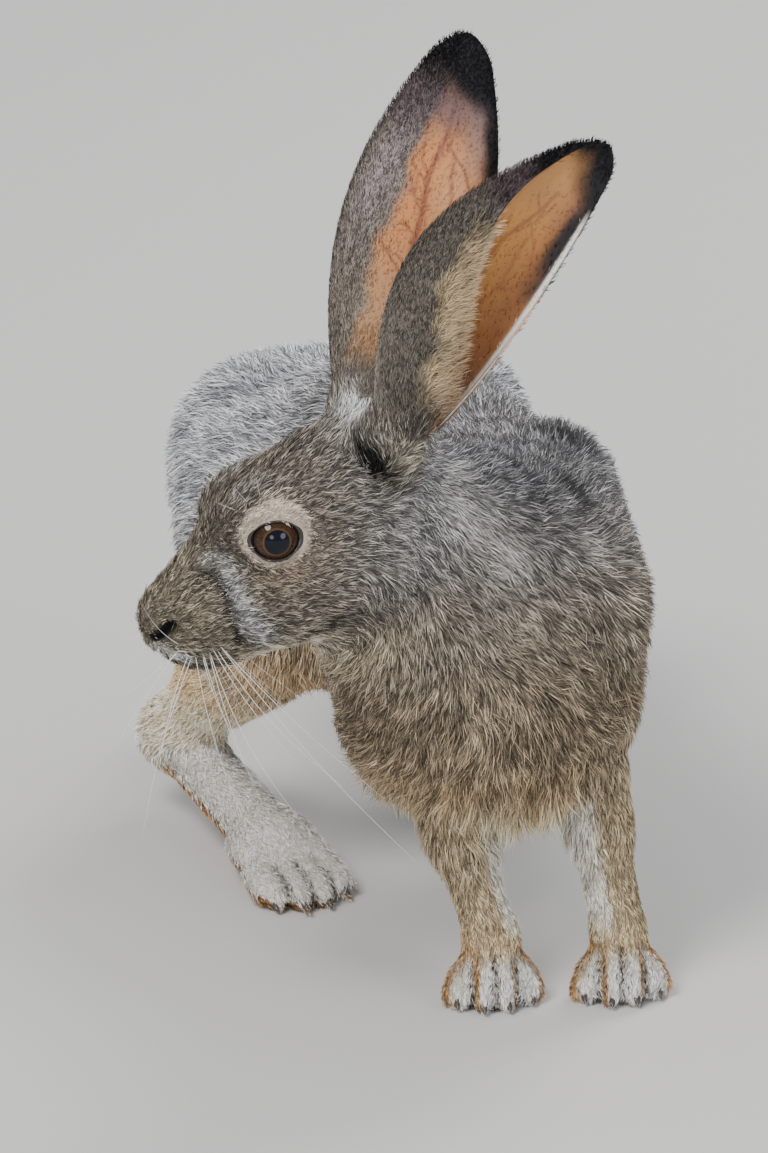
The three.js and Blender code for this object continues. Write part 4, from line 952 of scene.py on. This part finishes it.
# Lid rims: the bare, dark, moist edge of the lids. It lies on the eyeball all round, thickest in the
# two corners of the eye.
RIM_LIFT, RIM_SHARE, RIM_THICK = 0.45, 0.985, 0.68
rim_look = Nodes("lid_rim", Base_Color=(0.016, 0.011, 0.009), Roughness=0.35, Coat_Weight=0.4)
rims = []
for side in EYES:
    turn = np.linspace(0, 2 * math.pi, 72, endpoint=False)
    x, y = EYE_LONG * RIM_SHARE * np.cos(turn), EYE_HIGH * RIM_SHARE * np.sin(turn)
    out = np.sqrt((EYE_RADIUS / MM + RIM_LIFT) ** 2 - x * x - y * y)
    rim = np.stack([
        x * math.cos(EYE_TILT) - y * math.sin(EYE_TILT), side * (eye_out + out),
        x * math.sin(EYE_TILT) + y * math.cos(EYE_TILT) + EYE_UP / MM,
    ], 1)
    corners = hump((np.cos(turn) + 1, 0.15)) + hump((np.cos(turn) - 1, 0.12))
    thick = (RIM_THICK + 0.45 * corners) * MM
    rims.append(tube(head_place(rim), thick, closed=True))
lid_rims = new_object("lid_rims", *join(rims), rim_look.material)
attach(lid_rims, "root")

# Ears: each is a thin sheet of gristle and skin rolled into a cup on a short root. It is furred behind,
# almost bare and veined within, with black at the tip. One sheet of two faces and a rim makes it.
# For each ear: side, base on the head, tip in the model, bow, and greatest width, in millimetres.
EARS = {
    "ear_left": (1, (-52, 14.6, 15), (67, -170, 306), (-9, 0, 3), 44),
    "ear_right": (-1, (-48, -14.6, 19), (23, -136, 334), (0, 0, 0), 48),
}
EAR_TIP_START, EAR_THICK, EAR_RIM_THICK, EAR_SINK = 0.93, 1.5, 0.7, 0.25
ALONG_STEPS, ACROSS_STEPS = 150, 96


def ear_surface(ear, v, w, depth):
    """Places on an ear, v from root 0 to tip 1, w from the rear rim 0 to the front rim 1, depth inwards
    in mm, with half axes wide and deep and the angle t that runs from the rear rim to the front rim:
    (middle - (wide - depth) cos t, (deep - depth) sin t, reach v) + bow sin(pi v)."""
    side, base, tip, bow, most = EARS[ear]
    base = np.array(on_head(*base))
    reach = np.linalg.norm(np.array(tip) - base)
    axis = (np.array(tip) - base) / reach
    opened = unit(np.array([1.0, 0, 0]) - axis * axis[0])
    front = np.cross(opened, axis) * side
    past = np.maximum(0, (v - EAR_TIP_START) / (1 - EAR_TIP_START))
    width = most * np.sin(math.pi * (0.13 + 0.8 * v)) ** 0.9 * np.sqrt(np.maximum(0.02, 1 - past ** 2))
    rear_rim, front_rim = np.radians(165 - 40 * v), np.radians(35 + 115 * (1 - v) ** 1.3)
    wide = width / (1 - np.cos(rear_rim))
    deep = 9.5 * (1 - v ** 2.2) + 1.8
    depth = np.minimum(depth, np.minimum(wide * 0.35, deep * 0.45))
    t = -rear_rim + (rear_rim + front_rim) * w
    centre = wide * (1 + np.cos(rear_rim)) / 2
    local = np.stack([centre - (wide - depth) * np.cos(t), (deep - depth) * np.sin(t), reach * v], -1)
    place = base + local @ np.array([opened, front, axis])
    return (place + np.array(bow) * np.sin(math.pi * v)[..., None]) * MM


# Veins as places (w, v) on the ear: the trunk first, then its branches
VEINS = [
    [(0.20, 0.04), (0.22, 0.2), (0.24, 0.37), (0.262, 0.5), (0.276, 0.62), (0.262, 0.74), (0.26, 0.82)],
    [(0.255, 0.46), (0.31, 0.485), (0.36, 0.475)],
    [(0.265, 0.53), (0.31, 0.565), (0.35, 0.61)],
    [(0.23, 0.30), (0.19, 0.42), (0.175, 0.52), (0.19, 0.62), (0.205, 0.70)],
    [(0.275, 0.62), (0.32, 0.65), (0.345, 0.70)],
    [(0.262, 0.72), (0.22, 0.70), (0.16, 0.66), (0.12, 0.60)],
    [(0.262, 0.75), (0.31, 0.77), (0.35, 0.79)],
    [(0.272, 0.66), (0.235, 0.72), (0.215, 0.79)],
    [(0.24, 0.37), (0.29, 0.40), (0.33, 0.41)],
    [(0.178, 0.50), (0.13, 0.53), (0.10, 0.57)],
    [(0.30, 0.56), (0.31, 0.62)],
    [(0.24, 0.34), (0.38, 0.44), (0.52, 0.52)],
    [(0.275, 0.60), (0.42, 0.68), (0.52, 0.72)],
    [(0.268, 0.55), (0.40, 0.60), (0.56, 0.61)],
]
EAR_ASPECT = 0.42                # an ear's width round the cup as a share of its length
TRUNK_VEIN, BRANCH_VEIN, BRANCH_SHARE = 0.0040, 0.0024, 0.8


def ear_tones(v, w, inside):
    """Colour of an ear at (v, w), on its back or inside, under the hair: each paint() mixes in its tone
    by its mask. A vein's mask is exp(-(distance / width)^2)."""
    wobble = 0.012 * np.sin(23 * v + 5 * w) + 0.007 * np.sin(57 * v - 19 * w)
    vein = np.zeros_like(v)
    for order, line in enumerate(VEINS):
        bent = w + 0.005 * np.sin(v * 27 + order * 2.0)
        way = profile_distance(bent * EAR_ASPECT, v, np.array(line) * (EAR_ASPECT, 1))
        width, share_of_it = (BRANCH_VEIN, BRANCH_SHARE) if order else (TRUNK_VEIN, 1.0)
        vein = np.maximum(vein, hump((way, width)) * share_of_it)
    tone = np.ones((len(v), 3))

    def paint(mask, colour):
        """tone + mask (colour - tone)."""
        tone[:] += np.clip(mask, 0, 1)[:, None] * (np.array(colour) - tone)

    if inside:
        # Painted glow: the orange of light shining through the thin ear, darker towards the rear rim and the
        # root and paler towards the front rim
        paint(np.ones_like(v), (0.60, 0.285, 0.080))
        paint(smoothstep(0.35, 0.05, w), (0.27, 0.105, 0.035))
        paint(smoothstep(0.38, 0.08, v), (0.30, 0.17, 0.10))
        paint(smoothstep(0.55, 0.95, w) * 0.5, (0.58, 0.36, 0.15))
        paint(vein * 0.7, (0.22, 0.06, 0.03))
        paint(hump((w - 0.075, 0.04), (v - 0.72, 0.16)), (0.02, 0.012, 0.01))
    else:
        # Painted glow: the orange of light shining through the thin ear, darker towards the root and the
        # upper rear, with a painted bright patch where it shines through most
        paint(np.ones_like(v), (0.60, 0.255, 0.095))
        paint(smoothstep(0.55, 0.15, v), (0.44, 0.26, 0.14))
        paint(hump((w - 0.17, 0.07), (v - 0.58, 0.10)) * 0.8, (0.76, 0.42, 0.23))
        paint(smoothstep(0.22, 0.10, w) * smoothstep(0.58, 0.72, v), (0.48, 0.28, 0.20))
        paint(vein * 0.9, (0.20, 0.05, 0.04))
        furred = np.maximum(smoothstep(0.325, 0.385, w + wobble), smoothstep(0.16, 0.06, v))
        paint(furred, (0.24, 0.205, 0.17))
        paint(smoothstep(0.56, 0.66, w), (0.13, 0.112, 0.092))
        # Painted sheen: a pale lavender band where the furred back catches the light
        painted_sheen = hump((w - 0.46, 0.09), (v - 0.62, 0.2)) * smoothstep(0.33, 0.39, w + wobble)
        paint(painted_sheen, (0.37, 0.31, 0.31))
        paint(smoothstep(0.68, 0.76, v) * smoothstep(0.80, 0.87, w), (0.010, 0.008, 0.009))
        band = smoothstep(0.84 + 0.09 * v, 0.91 + 0.06 * v, w + 1.3 * wobble)
        band *= smoothstep(0.70, 0.50, v + 2 * wobble) * smoothstep(0.08, 0.2, v)
        paint(band, (0.49, 0.375, 0.23))
        paint(smoothstep(0.93, 0.98, w) * smoothstep(0.42, 0.25, v) * 0.8, (0.30, 0.19, 0.12))
    paint(smoothstep(0.64, 0.82, v + wobble) * (0.25 if inside else 0.85), (0.11, 0.075, 0.085))
    paint(smoothstep(0.11, 0.04, w + wobble) * smoothstep(0.48, 0.60, v), (0.012, 0.009, 0.010))
    tip = v + wobble + (0.10 if inside else 0.06) * (1 - np.sin(math.pi * w)) - 0.055 * inside
    paint(smoothstep(0.82, 0.91, tip), (0.006, 0.005, 0.007))
    if inside:
        rim = smoothstep(0.035, 0.015, w) * smoothstep(0.84, 0.76, v) * smoothstep(0.05, 0.15, v)
        paint(rim, (0.80, 0.76, 0.68))
    return tone


ear_look = Nodes("ear_skin", Roughness=0.62, Specular_IOR_Level=0.3)
ear_look.set(Subsurface_Weight=0.12, Subsurface_Scale=0.002, Base_Color=ear_look.tint())
ear_look.bump(ear_look.noise(900.0, 3.0, ear_look.place()), 0.25, 0.0004)
for ear in EARS:
    v, w = np.meshgrid(np.linspace(0, 1, ALONG_STEPS), np.linspace(0, 1, ACROSS_STEPS), indexing="ij")
    thick = EAR_RIM_THICK + (EAR_THICK - EAR_RIM_THICK) * np.sin(math.pi * w)
    outer, inner = ear_surface(ear, v, w, EAR_SINK), ear_surface(ear, v, w, EAR_SINK + thick)
    points = np.concatenate([outer.reshape(-1, 3), inner.reshape(-1, 3)])
    index = np.arange(v.size).reshape(v.shape)
    sheet = np.stack([index[:-1, :-1], index[:-1, 1:], index[1:, 1:], index[1:, :-1]], -1).reshape(-1, 4)
    borders = []
    for line in (index[:, 0], index[::-1, -1], index[-1, :], index[0, ::-1]):
        borders.append(np.stack([line[:-1], line[1:], line[1:] + v.size, line[:-1] + v.size], -1))
    faces = np.concatenate([sheet[:, ::-1], sheet + v.size] + borders)
    if EARS[ear][0] < 0:
        faces = faces[:, ::-1]
    tones = np.concatenate([ear_tones(v.ravel(), w.ravel(), inside) for inside in (False, True)])
    made = new_object(ear + "_sheet", points, faces, ear_look.material)
    paint_points(made, tones)
    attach(made, "root")
    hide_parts(ear)

# Ear coat: short close fur on the backs, a cream fringe along the front rims and sparse hair in the
# cups. It is made of the same blades as the body's coat and runs up the ear.
EAR_TUFT, FRINGE_TONE = 1.6 * MM, (0.62, 0.50, 0.34)
for ear in EARS:
    v, w = np.meshgrid(np.linspace(0, 0.995, 90), np.linspace(0, 1, 60), indexing="ij")
    outer, inner = ear_surface(ear, v, w, EAR_SINK), ear_surface(ear, v, w, EAR_THICK)
    outward = unit(outer - inner).reshape(-1, 3)
    up_ear = unit(np.gradient(outer, axis=0)).reshape(-1, 3)
    to_rim = unit(np.gradient(outer, axis=1)).reshape(-1, 3)
    index = np.arange(v.size).reshape(v.shape)
    faces = np.concatenate([
        np.stack([index[:-1, :-1], index[:-1, 1:], index[1:, 1:]], -1).reshape(-1, 3),
        np.stack([index[:-1, :-1], index[1:, 1:], index[1:, :-1]], -1).reshape(-1, 3),
    ])
    v, w = v.ravel(), w.ravel()
    for inside in (False, True):
        surface = (inner if inside else outer).reshape(-1, 3)
        if inside:
            band = smoothstep(0.93, 0.99, w) * smoothstep(0.75, 0.62, v)
            density = 0.3 + 5 * band + 2.4 * smoothstep(0.3, 0.1, v) + 3 * smoothstep(0.90, 0.95, v)
            length = 2.0 + 2.6 * band + 3.5 * smoothstep(0.3, 0.05, v)
        else:
            band = smoothstep(0.84 + 0.09 * v, 0.92 + 0.05 * v, w)
            band *= smoothstep(0.72, 0.52, v) * smoothstep(0.08, 0.16, v)
            furred = np.maximum(smoothstep(0.31, 0.42, w), smoothstep(0.24, 0.1, v))
            density = 0.5 + 4.8 * furred + 1.6 * band
            density += 3 * smoothstep(0.06, 0.02, w) + 3 * smoothstep(0.8, 0.9, v)
            length = 2.3 + 3.2 * band - 0.5 * smoothstep(0.7, 0.95, v) + 1.6 * smoothstep(0.25, 0.0, v)
        plan = np.stack([0.02 + 0.46 * w + 0.5 * inside, 0.02 + 0.96 * v], 1)
        roots, face, shares, uv = sample(surface, faces, density, plan[faces])
        hair = carried(np.stack([v, w, length, band], 1), faces, face, shares)
        hair_v, hair_w, hair_length, hair_band = hair.T
        normals = unit(carried(outward, faces, face, shares)) * (-1 if inside else 1)
        lie = carried(up_ear, faces, face, shares)
        lie += carried(to_rim, faces, face, shares) * (hair_band * 0.9)[:, None]
        way, chance = clumps(roots, EAR_TUFT, 3)
        way -= (way * normals).sum(1, keepdims=True) * normals
        turn = (chance[:, 2] - 0.5) * 0.6 + random.normal(0, 0.2, len(roots))
        lie = unit(lie - (lie * normals).sum(1, keepdims=True) * normals)
        lie = turned(lie, np.cross(normals, lie), turn)
        colour = ear_tones(hair_v, hair_w, inside)
        if inside:
            cream = np.clip(hair_band + smoothstep(0.35, 0.1, hair_v), 0, 1)[:, None]
            colour = colour + cream * (np.array(FRINGE_TONE) - colour)
        ticking = 0.4 * smoothstep(0.3, 0.42, hair_w) * (1 - hair_band) * (0 if inside else 1)
        number = len(roots)
        grow(
            f"coat_{ear}_{'inside' if inside else 'back'}", roots, normals, lie,
            hair_length * MM * (0.7 + 0.6 * random.random(number)), (0.2 + 0.1 * random.random(number)) * MM,
            np.radians(19 + 14 * hair_band) * (0.7 + 0.6 * random.random(number)),
            hair_tones(colour, ticking, chance, 0.55), uv, way * 0.55,
        )

# Whiskers: stiff white hairs from the pads of the muzzle, 14 a side, and three short ones above each
# eye. Each is a thin tapered tube, bowed, and rooted in the skin.
# Their tips, in millimetres forward, out and up on the head.
WHISKER_TIPS = [
    (18.6, 29, -108), (15.8, 30, -84), (24.8, 30, -73), (33, 30, -58), (41.7, 32, -80),
    (49.6, 31, -62), (48.1, 29, -50), (45.3, 27, -40), (58, 26, -66), (71.4, 25, -35),
    (89, 22, -54), (79, 21, -22), (66, 25, -8), (47, 30, 16),
]
FAR_SIDE_LENGTH, BOW_LENGTH, BROW_LENGTH, BROW_HAIRS = 0.75, 80, 16, 3
GOLDEN_SHARE = 0.618             # puts the roots' rows out of step with each other
whiskers = []
for side in EYES:
    for number, (a, s, b) in enumerate(WHISKER_TIPS):
        front = number / (len(WHISKER_TIPS) - 1)
        row = number * GOLDEN_SHARE % 1
        root = np.array([34 + 9 * front, side * (12.5 - 3.5 * front), -15 + 6.5 * row + 2 * front])
        reach = (np.array([a, side * s, b]) - root) * (1 if side > 0 else FAR_SIDE_LENGTH)
        step = np.linspace(0, 1, 11)[:, None]
        bow = np.array([3.0, side * 5.0, 2.0]) * (0.5 + random.random())
        path = root + reach * step + bow * np.sin(math.pi * step) * np.linalg.norm(reach) / BOW_LENGTH
        whiskers.append(tube(head_place(path), np.linspace(0.13, 0.035, 11) * MM, 4))
    for place in range(BROW_HAIRS):
        root = np.array([5 - 4 * place, side * 14.5, 20.5])
        way = unit(np.array([0.3 - 0.25 * place, side * 0.75, 0.75]))
        step = np.linspace(0, 1, 7)[:, None]
        path = root + BROW_LENGTH * way * step
        whiskers.append(tube(head_place(path), np.linspace(0.11, 0.03, 7) * MM, 4))
whisker_look = Nodes("whisker_hair", Base_Color=(0.86, 0.85, 0.82), Roughness=0.3)
whisker_object = new_object("whiskers", *join(whiskers), whisker_look.material)
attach(whisker_object, "root")

# Claws: a short blunt horn claw at the end of each toe, 16 in all, half hidden by the hair. Each is a
# tube that narrows to its tip and bends down. All sizes are in millimetres.
CLAW_BACK, CLAW_LENGTH, CLAW_RADIUS = 4, 6.2, 1.35
CLAW_TOP, CLAW_FALL = 3.9, 2.3
TIP_SPREAD = 1.12                # how much wider the claws stand than the toes
TOE_REACH = (-5, 0, -1, -7)      # how far each toe's tip is ahead of the foot's own
claws = []
for ball, tips, width, _ in FEET.values():
    ahead = unit(np.subtract(tips, ball).astype(float))
    sideways = np.array([-ahead[1], ahead[0]])
    for number, more in enumerate(TOE_REACH):
        end = np.array(tips) + sideways * (number - 1.5) * width * TIP_SPREAD + ahead * more
        step = np.linspace(0, 1, 6)
        forward, height = CLAW_LENGTH * step - CLAW_BACK, CLAW_TOP - CLAW_FALL * step ** 1.5
        path = np.column_stack([end + np.outer(forward, ahead), height])
        claws.append(tube(path * MM, np.sqrt(1.02 - step ** 2) * CLAW_RADIUS * MM, 8))
claw_look = Nodes("claw_horn", Base_Color=(0.055, 0.042, 0.035), Roughness=0.35, Coat_Weight=0.2)
claw_object = new_object("claws", *join(claws), claw_look.material)
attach(claw_object, "root")
